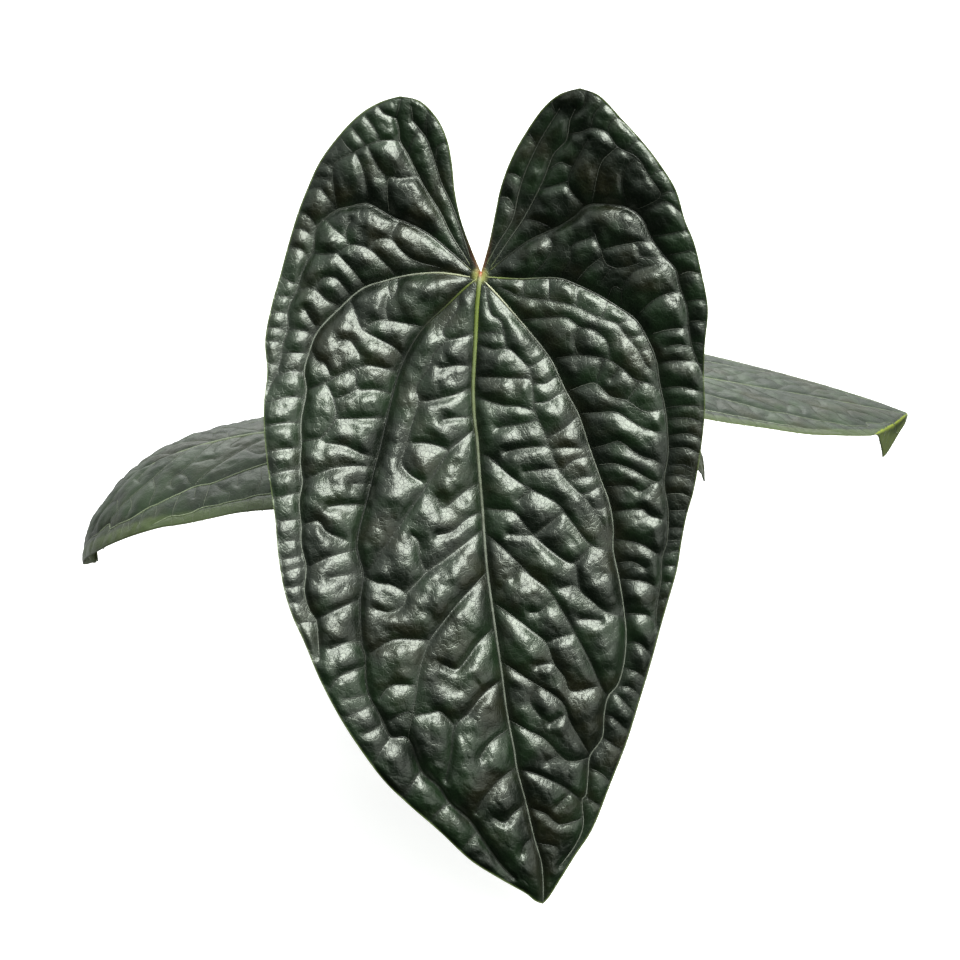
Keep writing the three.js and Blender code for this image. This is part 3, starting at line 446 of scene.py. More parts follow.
creases = [
    # left of the midrib
    *polylines("""
    472,334 460,338 448,340 443,332 448,322 456,312 459,300; 471,366 455,366 440,369;
    471,388 455,395 435,400 419,403; 472,417 455,418 443,420;
    472,431 457,444 449,451 434,474 420,495 402,522 386,547 370,569 363,576;
    447,341 434,355 430,367 417,388 419,402 411,430 405,452 402,464 412,476 421,481;
    449,450 435,445 420,443 406,445; 476,484 462,494 443,509 437,497; 480,512 465,520 453,531 437,535;
    482,530 463,545 445,559 427,572 406,594; 427,572 421,560 419,542 412,535;
    364,577 378,583 392,585 406,594 403,606 390,612 376,609;
    487,572 475,585 458,603 443,622 430,640 421,665 416,695 411,722 408,739;
    430,640 415,639 392,640 366,657; 418,685 392,685 380,698; 412,711 402,713 391,720;
    494,628 478,643 465,661 456,669 443,664; 501,680 483,694 468,713 455,726 451,755 446,780;
    455,726 441,711 432,712 414,715; 510,728 490,742 480,757; 517,767 500,779 486,795 476,812;
    526,804 513,813 505,822 494,817; 534,838 525,844 521,853"""),
    # between the first and second left ribs
    *polylines("""
    398,278 397,290 392,299 388,285; 388,298 386,312 389,322; 363,330 375,322 387,321 405,324 424,327;
    350,300 357,316 363,330 380,340 393,347 404,357; 340,342 350,341 360,355;
    311,350 318,362 325,364 332,379; 306,390 318,386 332,379 345,373 365,366 380,368 397,371;
    326,383 334,399 336,418 322,437 302,441; 357,370 358,389 375,390 391,393; 334,400 346,396 358,389;
    336,419 356,419 384,418; 324,443 345,446 362,454 377,458; 302,483 318,474 335,468 355,466 375,467;
    352,484 371,483; 328,507 345,505 366,505; 301,527 318,521 327,532 345,540; 306,568 330,557 357,549;
    330,578 345,575 363,573; 316,620 338,609 360,599; 330,649 345,643 361,641; 330,688 342,675 366,666;
    344,699 357,697 370,695; 346,717 360,711 374,704; 364,734 376,729 384,722; 372,765 381,750 391,737;
    402,798 412,784 421,770; 430,822 440,810 450,803; 462,850 472,838 478,831"""),
    # along the left margin
    *polylines("""
    301,422 285,423 264,426; 299,448 285,449 266,452; 299,469 285,471 269,476; 300,492 285,496 272,499;
    300,519 285,521 277,524; 301,540 287,541 279,543; 301,556 290,558 281,560; 305,566 293,569 282,574;
    304,584 293,587 284,588; 306,398 290,397 266,402; 309,612 300,604 290,603; 315,622 304,622 297,624;
    312,236 302,229 292,229; 308,257 300,249 287,248; 299,284 290,282 281,276; 292,298 282,296 275,296;
    288,314 278,312 270,314; 287,331 278,328 267,328; 283,344 275,341 266,341; 279,364 268,364"""),
    # upper left, between the second, third and fourth left ribs
    *polylines("""
    313,253 325,255 338,253 348,246 360,246 371,251 383,262 396,275; 339,256 352,270 365,287;
    297,290 314,289 326,300 341,307; 316,288 322,279 335,278 343,286 352,298; 288,329 300,330 316,335;
    282,352 295,353 309,353; 280,374 292,371 304,372; 305,309 312,322 320,330; 348,246 346,232 351,221;
    325,218 334,229 346,238; 371,251 376,241 391,240 400,250 414,261 440,268; 400,220 394,231 391,240;
    400,141 385,141 370,145 353,154 341,159 333,168 334,190 337,210; 418,177 400,179 388,181 389,214;
    356,154 364,173 369,202; 368,147 377,166 388,181; 380,141 375,130 366,117; 366,146 358,136 352,128;
    353,154 346,146 341,138; 333,168 322,163 319,162; 333,182 322,178 312,177;
    336,208 327,197 319,188 306,190; 317,227 308,216 299,212; 420,131 412,141 409,152; 413,121 411,106;
    427,139 426,124 429,111; 436,165 437,148 446,142; 396,118 384,114 377,104; 396,118 399,107 401,97;
    432,198 437,186 441,181"""),
    # upper right lobe
    *polylines("""
    568,134 580,133 592,129 607,134 617,148 636,158 648,176 660,196 646,206 634,210;
    588,140 576,162 568,182 573,195 585,207; 617,148 602,162 596,180 592,204;
    634,160 624,172 622,188 628,206; 541,189 555,186 568,182; 524,219 538,222 552,229;
    548,170 560,163 572,168; 642,213 655,206 666,202 680,212; 650,236 665,235 688,230;
    663,256 676,254 694,250; 678,276 688,272 702,274; 685,302 696,300 707,300; 689,322 698,321 707,322;
    692,343 698,343 705,345; 590,129 594,115 602,105; 607,134 611,122 620,118; 628,151 634,143 641,141;
    650,180 656,172 664,171; 660,196 668,192 676,192; 514,208 508,198 498,198; 523,180 514,174 506,174;
    537,146 530,135 526,133; 556,114 552,104 551,101; 570,118 584,106 586,90"""),
    # between the third and second right ribs
    *polylines("""
    604,250 620,246 636,243 652,242; 638,245 640,257 655,258 664,258;
    594,234 600,250 606,265 620,269 638,264; 621,305 622,290 632,273 650,267 666,260;
    637,316 650,303 664,295 681,292; 652,334 668,330 689,328; 659,363 675,361 694,362 703,366;
    661,389 680,387 704,393; 664,408 684,406 704,407; 666,347 678,345 692,347; 575,283 586,270 602,257;
    530,278 545,262 552,245 545,233; 561,277 570,262 572,246 594,238; 601,282 610,270;
    606,306 612,288 622,290"""),
    # along the right margin
    *polylines("""
    666,419 685,418 704,423; 668,436 688,434 703,440; 667,449 686,448 701,455; 665,466 684,465 697,473;
    664,478 678,475 694,481; 667,494 682,494 691,498; 668,511 686,510; 668,528 684,528; 667,541 681,540;
    663,553 680,550; 661,566 677,566; 660,583 674,582; 658,600 669,598"""),
    # between the second and first right ribs
    *polylines("""
    500,287 520,297 548,301 575,307 600,319 616,324 626,337 638,351 647,367 657,372; 524,280 523,298;
    549,279 549,301; 575,285 577,296 575,307; 608,302 601,318; 634,318 617,325; 646,335 627,338;
    650,349 638,351; 520,320 537,319 557,318 568,319 580,328 594,331 607,343 609,357;
    552,359 577,356 603,359 620,368 634,380 650,384 659,390; 603,359 597,380; 619,368 611,380;
    640,382 626,401; 580,328 574,342 578,356; 567,392 582,386 595,384 610,397 626,401 645,412 664,409;
    578,414 598,413 617,413 640,427 665,435; 590,449 605,445 619,442 638,455 657,462 665,470;
    597,465 615,464 632,470 652,481 664,483; 605,487 622,486 632,487 640,492 652,484;
    611,512 640,509 650,516 668,521; 614,539 640,544 661,557; 617,563 632,562 644,568;
    619,579 645,582 659,591; 624,614 640,614 650,617 658,626; 626,642 640,644 653,658;
    624,668 636,672 648,680; 616,688 628,687 641,697; 608,696 616,694 636,715; 604,716 612,717 626,730;
    602,738 618,748 622,752; 589,768 602,774 610,783; 585,797 597,804 600,806"""),
    # right of the midrib
    *polylines("""
    480,345 492,350 508,349 520,359 530,367 547,356; 486,287 491,314 501,322 507,349; 478,333 502,333;
    530,367 533,395 535,412 546,438 556,465 567,481 586,500 600,520 607,540; 474,377 495,378 531,379;
    474,396 500,405 520,407 534,411; 497,428 518,425 537,420; 505,452 525,448 549,446;
    524,472 540,470 557,468; 533,403 547,402 556,396 566,392; 532,383 545,384 558,375;
    546,438 562,430 578,416; 550,450 565,448 586,449; 560,472 574,460 592,456; 568,481 580,478 596,476;
    580,494 588,493 600,486; 592,510 602,508 610,506;
    479,455 490,458 510,476 530,489 556,503 570,520 590,544 613,551; 531,490 518,500;
    563,512 547,525 533,536; 484,508 500,510 514,512 532,534 562,559 576,562 591,545;
    508,534 520,535 532,535; 576,562 579,588 592,601 605,611 624,616; 560,588 570,585 579,587;
    579,618 600,620; 487,535 505,550 530,575 550,592 572,628 590,662 600,685 608,697; 519,566 513,578;
    553,597 540,611 530,612; 493,603 510,614 530,629 546,643 553,662 564,677 571,691 597,686;
    546,643 558,637 574,632; 536,665 553,662; 502,662 528,679 560,700 570,722 590,756; 562,715 549,723;
    535,690 530,701 540,716; 509,720 530,731 545,739 566,760 589,758; 560,754 546,761;
    518,770 535,773 563,786 582,801; 569,793 556,806; 529,808 545,813 560,824 583,818; 536,843 556,846"""),
]
notch, tip = leftEdge[0], leftEdge[-1]
spine = np.vstack([notch, midrib, tip])
mainRibs = [spine, *leftRibs, *rightRibs]
ribLines = [smoothLine(line, step=1.5) for line in mainRibs]
creaseLines = [smoothLine(line, step=1.5) for line in creases]
marginLine = [smoothLine(leftEdge, step=1.5), smoothLine(rightEdge, step=1.5)]

# A raster over the flat leaf
corner = np.array([-leaf["halfWidth"] - leaf["border"], -leaf["reach"] - leaf["border"]])
columns = math.ceil(-2 * corner[0] / leaf["cell"])
rows = math.ceil((leaf["length"] + 2 * leaf["border"]) / leaf["cell"])
rasterPlaces = joined(*np.meshgrid(np.arange(columns), np.arange(rows))) * leaf["cell"] + corner


def sample(field, places):
    # bilinear reading of a raster at flat places
    u = np.clip((places - corner) / leaf["cell"], 0, [columns - 1.001, rows - 1.001])
    i, j = u[..., 0].astype(int), u[..., 1].astype(int)
    s, t = u[..., 0] - i, u[..., 1] - j
    if field.ndim == 3:
        s, t = s[..., None], t[..., None]
    lower = field[j, i] * (1 - s) + field[j, i + 1] * s
    return lower * (1 - t) + (field[j + 1, i] * (1 - s) + field[j + 1, i + 1] * s) * t


def nearestLine(lines, reach):
    # distance to the nearest line and the step to it: each segment marks the cells round its middle, and
    # where several do, the nearest one stays
    starts = np.concatenate([line[:-1] for line in lines])
    ahead = np.concatenate([line[1:] for line in lines]) - starts
    middle = np.rint((starts + ahead / 2 - corner) / leaf["cell"]).astype(int)
    span = np.arange(-math.ceil(reach / leaf["cell"]), math.ceil(reach / leaf["cell"]) + 1)
    window = joined(*np.meshgrid(span, span)).reshape(-1, 2)
    at = np.clip(middle[:, None] + window, 0, [columns - 1, rows - 1])
    fromStart = at * leaf["cell"] + corner - starts[:, None]
    along = np.sum(fromStart * ahead[:, None], axis=-1) / np.sum(ahead**2, axis=-1)[:, None]
    step = np.clip(along, 0, 1)[..., None] * ahead[:, None] - fromStart
    distance = np.linalg.norm(step, axis=-1)
    order = np.argsort(-distance, axis=None)
    cells = (at[..., 1] * columns + at[..., 0]).ravel()[order]
    distances = np.full(rows * columns, 2.0 * reach)
    steps = np.zeros((rows * columns, 2))
    distances[cells] = distance.ravel()[order]
    steps[cells] = step.reshape(-1, 2)[order]
    return distances.reshape(rows, columns), steps.reshape(rows, columns, 2)


def insideOutline(outline):
    # a place is inside if a line from it to the right crosses the outline an odd number of times
    a, b = outline, np.roll(outline, -1, axis=0)
    within = np.zeros((rows, columns), bool)
    x, y = rasterPlaces[..., 0], rasterPlaces[..., 1]
    for (ax, ay), (bx, by) in zip(a, b):
        if ay != by:
            crosses = (ay > y) != (by > y)
            within ^= crosses & (x < ax + (y - ay) * (bx - ax) / (by - ay))
    return within


def blownSkin(hold, outside, passes):
    # a skin blown up between held lines: q has a Laplacian of -2 and is pulled to 0 where it is held, so that
    # q = (sum of the 4 neighbours + 2 cell^2) / (4 + hold cell^2), and its root is about half a pocket's
    # width
    size = leaf["cell"] ** 2
    share = np.where(outside, 0.0, 1 / (4 + hold * size)).astype(np.float32)
    q = np.zeros((rows, columns), np.float32)
    for _ in range(passes):
        around = q[:-2, 1:-1] + q[2:, 1:-1] + q[1:-1, :-2] + q[1:-1, 2:]
        q[1:-1, 1:-1] = (around + np.float32(2 * size)) * share[1:-1, 1:-1]
    return q


def clouds(random, size):
    # random numbers blurred to patches of about size millimetres, with a mean square of 1
    fx = np.fft.fftfreq(columns, leaf["cell"])[None, :]
    fy = np.fft.fftfreq(rows, leaf["cell"])[:, None]
    blur = np.exp(-2 * (np.pi * size / 2.5) ** 2 * (fx**2 + fy**2))
    field = np.fft.ifft2(np.fft.fft2(random.standard_normal((rows, columns))) * blur).real
    return field / field.std()


def network(random, size, warp):
    # the difference between the distances to the second nearest and the nearest point of a jittered grid:
    # 0 on the lines between its cells
    places = (rasterPlaces + warp - corner) / size
    home = np.floor(places).astype(int)
    points = random.random((home.max() + 4, home.max() + 4, 2))
    near = np.full((9, rows, columns), 9.0)
    for k in range(9):
        cell = home + np.array([k % 3 - 1, k // 3 - 1])
        point = cell + points[cell[..., 1] + 1, cell[..., 0] + 1]
        near[k] = np.linalg.norm(point - places, axis=-1)
    near.sort(axis=0)
    return (near[1] - near[0]) * size


outline = np.vstack([marginLine[0], marginLine[1][::-1]])
outside = ~insideOutline(outline)
# each distance is measured as far out as it is used
ribDistance, _ = nearestLine(ribLines, 7.0)
creaseDistance, _ = nearestLine(creaseLines, 4.0)
marginDistance, _ = nearestLine(marginLine, 12.0)
veinDistance, veinStep = nearestLine([*ribLines, *creaseLines], 2.0)


def heldAt(distance):
    return leaf["holdStiff"] * bell(distance, leaf["holdWidth"])


pocketSkin = blownSkin(heldAt(np.minimum(veinDistance, marginDistance)), outside, leaf["passes"])
swellSkin = blownSkin(heldAt(np.minimum(ribDistance, marginDistance)), outside, leaf["passes"])


def reliefOf(seed):
    # the pillows between all veins and between the main ribs, grooves along ribs and creases, a fine net,
    # and low waves that differ from leaf to leaf
    random = np.random.default_rng(seed)
    crisp = leaf["crispness"]
    pillow = leaf["pillow"] * (np.sqrt(np.maximum(pocketSkin, 0) + crisp**2) - crisp)
    swell = np.sqrt(np.maximum(swellSkin, 0) + leaf["swellCrispness"] ** 2) - leaf["swellCrispness"]
    unevenSize, unevenShare = leaf["uneven"]
    height = pillow * (1 + unevenShare * clouds(random, unevenSize)) + leaf["swell"] * swell
    height = height - leaf["ribDip"] * bell(ribDistance, leaf["ribWidth"])
    height -= leaf["creaseDip"] * bell(creaseDistance, leaf["creaseWidth"])
    fade = 1 - bell(np.minimum(veinDistance, marginDistance), leaf["calmWidth"])
    for size, amount in leaf["waves"]:
        height += amount * fade * clouds(random, size)
    warpSize, warpReach = leaf["warp"]
    warp = joined(clouds(random, warpSize), clouds(random, warpSize)) * warpReach
    net = bell(network(random, leaf["netCell"], warp), leaf["netWidth"])
    return height - leaf["netDip"] * net * fade, net


def halfGrid(edge, columnCount, rowCount):
    # a row for each step from the lobe's top to the tip: from the inner edge, round the notch and down the
    # midrib, in a straight line to the margin
    top = int(np.argmax(edge[:, 1]))
    lobeRows = 2 * round(rowCount * leaf["lobeShare"] / 2)
    outer = smoothLine(edge[top:], count=rowCount)
    down = smoothLine(spine, count=rowCount - lobeRows)
    inner = np.vstack([smoothLine(edge[:top + 1][::-1], count=lobeRows)[:-1], down])
    share = np.linspace(0, 1, columnCount + 1)[None, :, None]
    grid = inner[:, None] * (1 - share) + outer[:, None] * share
    moved = grid + bell(sample(veinDistance, grid), leaf["drawnWithin"])[..., None] * sample(veinStep, grid)
    grid[1:-1, 1:-1] = moved[1:-1, 1:-1]
    return grid, lobeRows


def halfIndex(rowCount, columnCount, lobeRows, first, spineIndex=None):
    # point numbers of a half: its top row is one point and its last row another, and the second half takes
    # the numbers of the spine from the first
    index = first + np.arange((rowCount + 1) * (columnCount + 1)).reshape(rowCount + 1, columnCount + 1)
    index[0] = index[0, 0]
    index[-1] = index[-1, 0]
    if spineIndex is not None:
        index[lobeRows:, 0] = spineIndex
        index[-1] = spineIndex[-1]
    return index


def splitTiles(index, height):
    # two triangles for each tile, split along its deeper diagonal, without those that have no area
    a, b, c, d = index[:-1, :-1], index[:-1, 1:], index[1:, :-1], index[1:, 1:]
    ha, hb, hc, hd = height[:-1, :-1], height[:-1, 1:], height[1:, :-1], height[1:, 1:]
    acrossAD = (ha + hd < hb + hc)[..., None]
    one = np.where(acrossAD, joined(a, d, c), joined(a, b, c))
    two = np.where(acrossAD, joined(a, b, d), joined(b, d, c))
    faces = np.concatenate([one.reshape(-1, 3), two.reshape(-1, 3)])
    same = (faces[:, 0] == faces[:, 1]) | (faces[:, 1] == faces[:, 2]) | (faces[:, 0] == faces[:, 2])
    return faces[~same]


print(f"leaf drawn on a raster of {columns} x {rows} cells")

# How each leaf hangs. The largest is slightly bent and twisted; the others arch from the stem, rolled about
# the midrib and bent down to both sides. Scale is the size as a share of the largest; pucker, cord and band
# set the relief, the width of the veins and the paler margin. Pucker also scales the painted shade in the
# creases, and band is a wide band of painted sheen on the left and right leaves
mainLeaf = dict(
    at=view["notch"], across=8.0, lobes=16.0, centre=-100.0, reach=150.0, twist=16.0, twistCentre=-30.0,
    twistReach=100.0, scale=1.0, pucker=1.0,
    columns=104, rows=330, skin=0.7, cord=1.0, band=(1.6, 1.0), veinPale=0.0, finish="mature", seed=11,
)
bentLeaves = dict(
    left=dict(
        at=(-42.1, -2.1, 126.7), heading=189.8, pitch=0.53, pitchTip=-98.9, power=2.34,
        roll=-9.7, roof=4.86, curl=8.1, scale=0.66, wide=1.0, mirror=1,
        pucker=0.5, columns=84, rows=264, skin=0.6, cord=1.5, band=(22.0, 0.93), veinPale=0.9,
        finish="arched", seed=23,
    ),
    right=dict(
        at=(42.5, 21.9, 141.5), heading=7.9, pitch=-15.7, pitchTip=-21.1, power=3.05,
        roll=9.7, roof=0.4, curl=2.0, scale=0.66, wide=1.0, mirror=-1,
        pucker=0.32, columns=84, rows=264, skin=0.6, cord=1.0, band=(18.0, 0.92), veinPale=0.3,
        finish="arched", seed=37,
        fold={"from": (-44.8, -155.8), "to": (27.7, -206.1), "angle": 80, "radius": 1.3, "stretch": 1.58,
              "slide": 0.85, "longest": 1.15, "corner": 0.55, "taper": 1.7, "fade": 4, "flattened": 0.85},
    ),
    back=dict(
        at=(22.3, 44.0, 125.5), heading=8.0, pitch=-5.0, pitchTip=-80.0, power=1.3,
        roll=0.0, roof=8.0, curl=4.0, scale=0.42, wide=0.95, mirror=1,
        pucker=0.6, columns=64, rows=200, skin=0.5, cord=1.2, band=(5.0, 1.0), veinPale=0.9,
        finish="young", seed=41,
    ),
)


def mainPlace(flat):
    # at + x spread right + ((y + a) spread - a) up + rise out, where rise is across (x / half width)^2 +
    # lobes ((y - centre) / reach)^3 + twist (x / half width) (y - its centre) / its reach and spread is
    # 1 - rise / distance of the eye
    bend = mainLeaf
    x, y = flat[..., 0:1], flat[..., 1:2]
    side = x / leaf["halfWidth"]
    rise = bend["across"] * side**2 + bend["lobes"] * ((y - bend["centre"]) / bend["reach"]) ** 3
    rise = rise + bend["twist"] * side * (y - bend["twistCentre"]) / bend["twistReach"]
    spread = 1 - rise / view["distance"]
    below = view["axisBelowNotch"]
    point = bend["at"] + x * spread * leafRight + ((y + below) * spread - below) * leafUp + rise * leafOut
    return point, leafOut + np.zeros_like(point)


def bentPlace(bent):
    # the midrib runs along its heading while its pitch falls with a power of the distance; across, the leaf
    # drops by |x| sin roof + curl (x / half width)^2
    reach = leaf["reach"] * bent["scale"]
    s = np.linspace(-0.4 * reach, 1.05 * reach, 601)
    fall = np.sign(s) * np.abs(s / reach) ** bent["power"]
    pitches = np.radians(bent["pitch"] + (bent["pitchTip"] - bent["pitch"]) * fall)
    step = s[1] - s[0]
    aheads = np.r_[0, np.cumsum((np.cos(pitches[1:]) + np.cos(pitches[:-1])) / 2 * step)]
    rises = np.r_[0, np.cumsum((np.sin(pitches[1:]) + np.sin(pitches[:-1])) / 2 * step)]
    heading, roll, roof = (math.radians(bent[key]) for key in ("heading", "roll", "roof"))
    along = np.array([math.cos(heading), math.sin(heading), 0])
    level = np.array([math.sin(heading), -math.cos(heading), 0])
    up = np.array([0, 0, 1.0])

    def place(flat):
        across = flat[..., 0:1] * bent["scale"] * bent["mirror"] * bent["wide"]
        station = -flat[..., 1:2] * bent["scale"]
        ahead = np.interp(station, s, aheads) - np.interp(0, s, aheads)
        rise = np.interp(station, s, rises) - np.interp(0, s, rises)
        pitch = np.interp(station, s, pitches)
        back = -np.sin(pitch) * along + np.cos(pitch) * up
        side = math.cos(roll) * level + math.sin(roll) * back
        normal = math.cos(roll) * back - math.sin(roll) * level
        bend = np.abs(across) * math.sin(roof)
        bend = bend + bent["curl"] * (across / (leaf["halfWidth"] * bent["scale"])) ** 2
        point = bent["at"] + ahead * along + rise * up + across * math.cos(roof) * side - bend * normal
        return point, normal

    return place


def acrossFold(fold):
    # the flat direction square to the fold's line, towards the tip
    line = unit(np.subtract(fold["to"], fold["from"]))
    across = np.array([line[1], -line[0]])
    return across * np.sign(np.dot(across, tip - fold["from"]))


def beyondFold(flat, fold):
    return (flat - fold["from"]) @ acrossFold(fold)


def smoothed(flat, size):
    # the share of its relief that a leaf keeps, less past a fold, and how far into the fold a point is
    if "fold" not in size:
        return 1.0, 0 * flat[..., 0]
    flap = np.clip(beyondFold(flat, size["fold"]) / size["fold"]["fade"], 0, 1)
    return 1 - size["fold"]["flattened"] * flap, flap


def foldedPlace(bent, place):
    # past a line between two points of the margin, the leaf turns down round a small radius and runs on
    # straight, sliding along the line as it goes, longest past the line's middle and so a triangle
    fold = bent["fold"]
    start, end = np.array(fold["from"]), np.array(fold["to"])
    line = unit(end - start)
    beyond = acrossFold(fold)
    middleNormal = place((start + end) / 2)[1]
    hinge = unit(place(end)[0] - place(start)[0])
    out = np.cross(middleNormal, hinge)
    out = out * np.sign(np.dot(out, place(end + beyond)[0] - place(end)[0]))
    full, radius = math.radians(fold["angle"]), fold["radius"]

    def folded(flat):
        point, normal = place(flat)
        distance, along = beyondFold(flat, fold)[..., None], ((flat - start) @ line)[..., None]
        foot = place(start + along * line)[0]
        share = along / np.linalg.norm(end - start)
        length = fold["longest"] - fold["taper"] * np.abs(share - fold["corner"])
        run = np.maximum(distance, 0) * length * bent["scale"] * fold["stretch"]
        turn = full * np.minimum(1, run / (full * radius))
        rest = np.maximum(0, run - full * radius)
        bentPoint = foot + (radius * np.sin(turn) + rest * math.cos(full)) * out - fold["slide"] * run * hinge
        bentPoint = bentPoint - (radius * (1 - np.cos(turn)) + rest * math.sin(full)) * middleNormal
        bentNormal = np.cos(turn) * middleNormal + np.sin(turn) * out
        past = distance > 0
        return np.where(past, bentPoint, point), np.where(past, bentNormal, normal)

    return folded


leafPlaces = dict(main=mainPlace)
leafSizes = dict(main=mainLeaf)
for name, bent in bentLeaves.items():
    leafSizes[name] = bent
    leafPlaces[name] = foldedPlace(bent, bentPlace(bent)) if "fold" in bent else bentPlace(bent)
reliefs = {name: reliefOf(size["seed"]) for name, size in leafSizes.items()}
print("leaves placed")


def leafMarks(flat, net, random, size):
    # rib, crease and margin closeness; pale glow of the star, red of the notch, and light patches. Crease
    # closeness becomes painted shade in the creases, and margin closeness a paler margin that is painted
    # sheen on the left and right leaves
    width = markWidths
    star, margin = np.linalg.norm(flat, axis=-1), sample(marginDistance, flat)
    glow = bell(np.linalg.norm(flat + np.array([0, width["glowBelow"]]), axis=-1), width["glow"])
    notchEdge = width["notchEdgeShare"] * bell(margin, width["notchEdge"]) * bell(star, width["notchReach"])
    patches = 0.5
    for patchSize, amount in width["patches"]:
        patches = patches + amount * sample(clouds(random, patchSize), flat)
    # painted shade: near a crease or a line of the fine net the skin is darkened, where the grooves lie in
    # shade
    crease = np.maximum(bell(sample(veinDistance, flat), width["crease"]), width["net"] * sample(net, flat))
    # the paler margin: a thin pale rim on the largest leaf, and on the left and right leaves a wide band of
    # painted sheen
    bandWidth, bandTone = size["band"]
    band = np.minimum(bell(margin, bandWidth), bandTone)
    rib = bell(sample(ribDistance, flat), width["rib"])
    notchRed = np.maximum(bell(star, width["notch"]), notchEdge)
    return joined(rib, size["pucker"] * crease, band, glow, notchRed, np.clip(patches, 0, 1))


def makeBlade(name):
    # a closed skin: a fine upper side, an underside with every second point, and a rim between them
    size, place = leafSizes[name], leafPlaces[name]
    height, net = reliefs[name]
    raised = size["scale"] * size["pucker"]
    parts, tips = Parts(), []
    # a mirrored leaf needs its faces turned over, which shows at one place on it
    middle = np.array([10.0, -60.0])
    across, along = (place(middle + step)[0] - place(middle - step)[0] for step in np.eye(2))
    flips = np.dot(np.cross(across, along), place(middle)[1]) < 0
    topSpine = bottomSpine = None
    for edge in (leftEdge, rightEdge):
        grid, lobeRows = halfGrid(edge, size["columns"], size["rows"])
        point, normal = place(grid)
        kept, flap = smoothed(grid, size)
        rise = sample(height, grid) * kept
        low = rise.copy()
        low[1:-1, 1:-1] = np.min([rise[1 + i:len(rise) - 1 + i, 1 + j:rise.shape[1] - 1 + j]
                                  for i in (-1, 0, 1) for j in (-1, 0, 1)], axis=0)
        thin = size["skin"] * (1 - leaf["thinner"] * bell(sample(marginDistance, grid), leaf["thinWidth"]))
        low = (low * raised - thin)[::2, ::2]
        turned = (edge is leftEdge) == flips
        first = parts.count
        top = halfIndex(size["rows"], size["columns"], lobeRows, first, topSpine)
        bottom = halfIndex(size["rows"] // 2, size["columns"] // 2, lobeRows // 2, first + grid[..., 0].size,
                           bottomSpine)
        if topSpine is None:
            topSpine, bottomSpine = top[lobeRows:, 0], bottom[lobeRows // 2:, 0]
        random = np.random.default_rng(size["seed"] + 1)
        marks = leafMarks(grid, net, random, size)
        upperMarks = marks.copy()
        # above, the flap takes the place of the rib
        upperMarks[..., 0] = flap
        under = (point[::2, ::2] + normal[::2, ::2] * low[..., None]).reshape(-1, 3)
        upper = (point + normal * (rise * raised)[..., None]).reshape(-1, 3)
        upperFaces = splitTiles(top, rise) - first
        lowerFaces = splitTiles(bottom, low)[:, ::-1] - first
        rimFaces = []
        for t, b in ((top[:, -1], bottom[:, -1]), (top[:lobeRows + 1, 0], bottom[:lobeRows // 2 + 1, 0])):
            t0, t1, t2, b0, b1 = t[0:-2:2], t[1:-1:2], t[2::2], b[:-1], b[1:]
            strip = np.concatenate([joined(t0, b0, t1), joined(t1, b0, b1), joined(t1, b1, t2)])
            rimFaces.append((strip if t[-1] == top[-1, -1] else strip[:, ::-1]) - first)
        rimFaces = np.concatenate(rimFaces)
        if turned:
            upperFaces, lowerFaces, rimFaces = upperFaces[:, ::-1], lowerFaces[:, ::-1], rimFaces[:, ::-1]
        allMarks = np.concatenate([upperMarks.reshape(-1, 6), marks[::2, ::2].reshape(-1, 6)])
        # only the largest leaf has sharp creases
        creased = sample(veinDistance, grid) < leaf["foldedWithin"] * (size["pucker"] == 1)
        folded = np.concatenate([creased.ravel(), np.zeros(under.shape[0], bool)])
        tips += [flap.ravel() > leaf["flapFrom"], np.zeros(len(under), bool)]
        onTip = np.concatenate(tips)[upperFaces + first].all(axis=1)
        parts.add(np.concatenate([upper, under]), (upperFaces[~onTip], 0, True), (upperFaces[onTip], 3, True),
                  (lowerFaces, 1, True), (rimFaces, 2, False), marks=allMarks, folded=folded)
    parts.build(f"{name}_blade", [leafSkins[size["finish"]], *leafFinishes], "leaf", f"{name}_leaf_blade")


# Veins, as thin raised cords: on the upper side they lie at the bottom of the grooves, and the main ribs
# stand out below
veins = dict(
    midrib=dict(radius=(1.0, 0.26), under=(1.5, 0.45), green=50.0, pale=0.42, white=4.0),
    white=dict(radius=(0.45, 0.17), under=(1.2, 0.35), green=0.5, pale=0.8, white=17.0),
    green=dict(radius=(0.38, 0.16), under=(1.2, 0.35), green=13.0, pale=0.35, white=4.0),
    faint=dict(radius=(0.27, 0.13), under=(1.0, 0.3), green=4.5, pale=0.2, white=3.0),
    crease=dict(radius=(0.1, 0.08), under=(0.45, 0.25), green=4.0, pale=0.1, white=1.0),
    kinds=(
        "midrib", "green", "white", "faint", "faint", "faint", "white", "green", "faint", "faint", "faint",
    ),
    step=1.1, stepPower=1.4, sides=5, lift=0.05, sunk=0.3, taperPower=0.7, sizePower=0.6, closing=4,
    bluntEnd=0.15, creasePale=0.4, red=1.4, toneSpread=0.3,
)


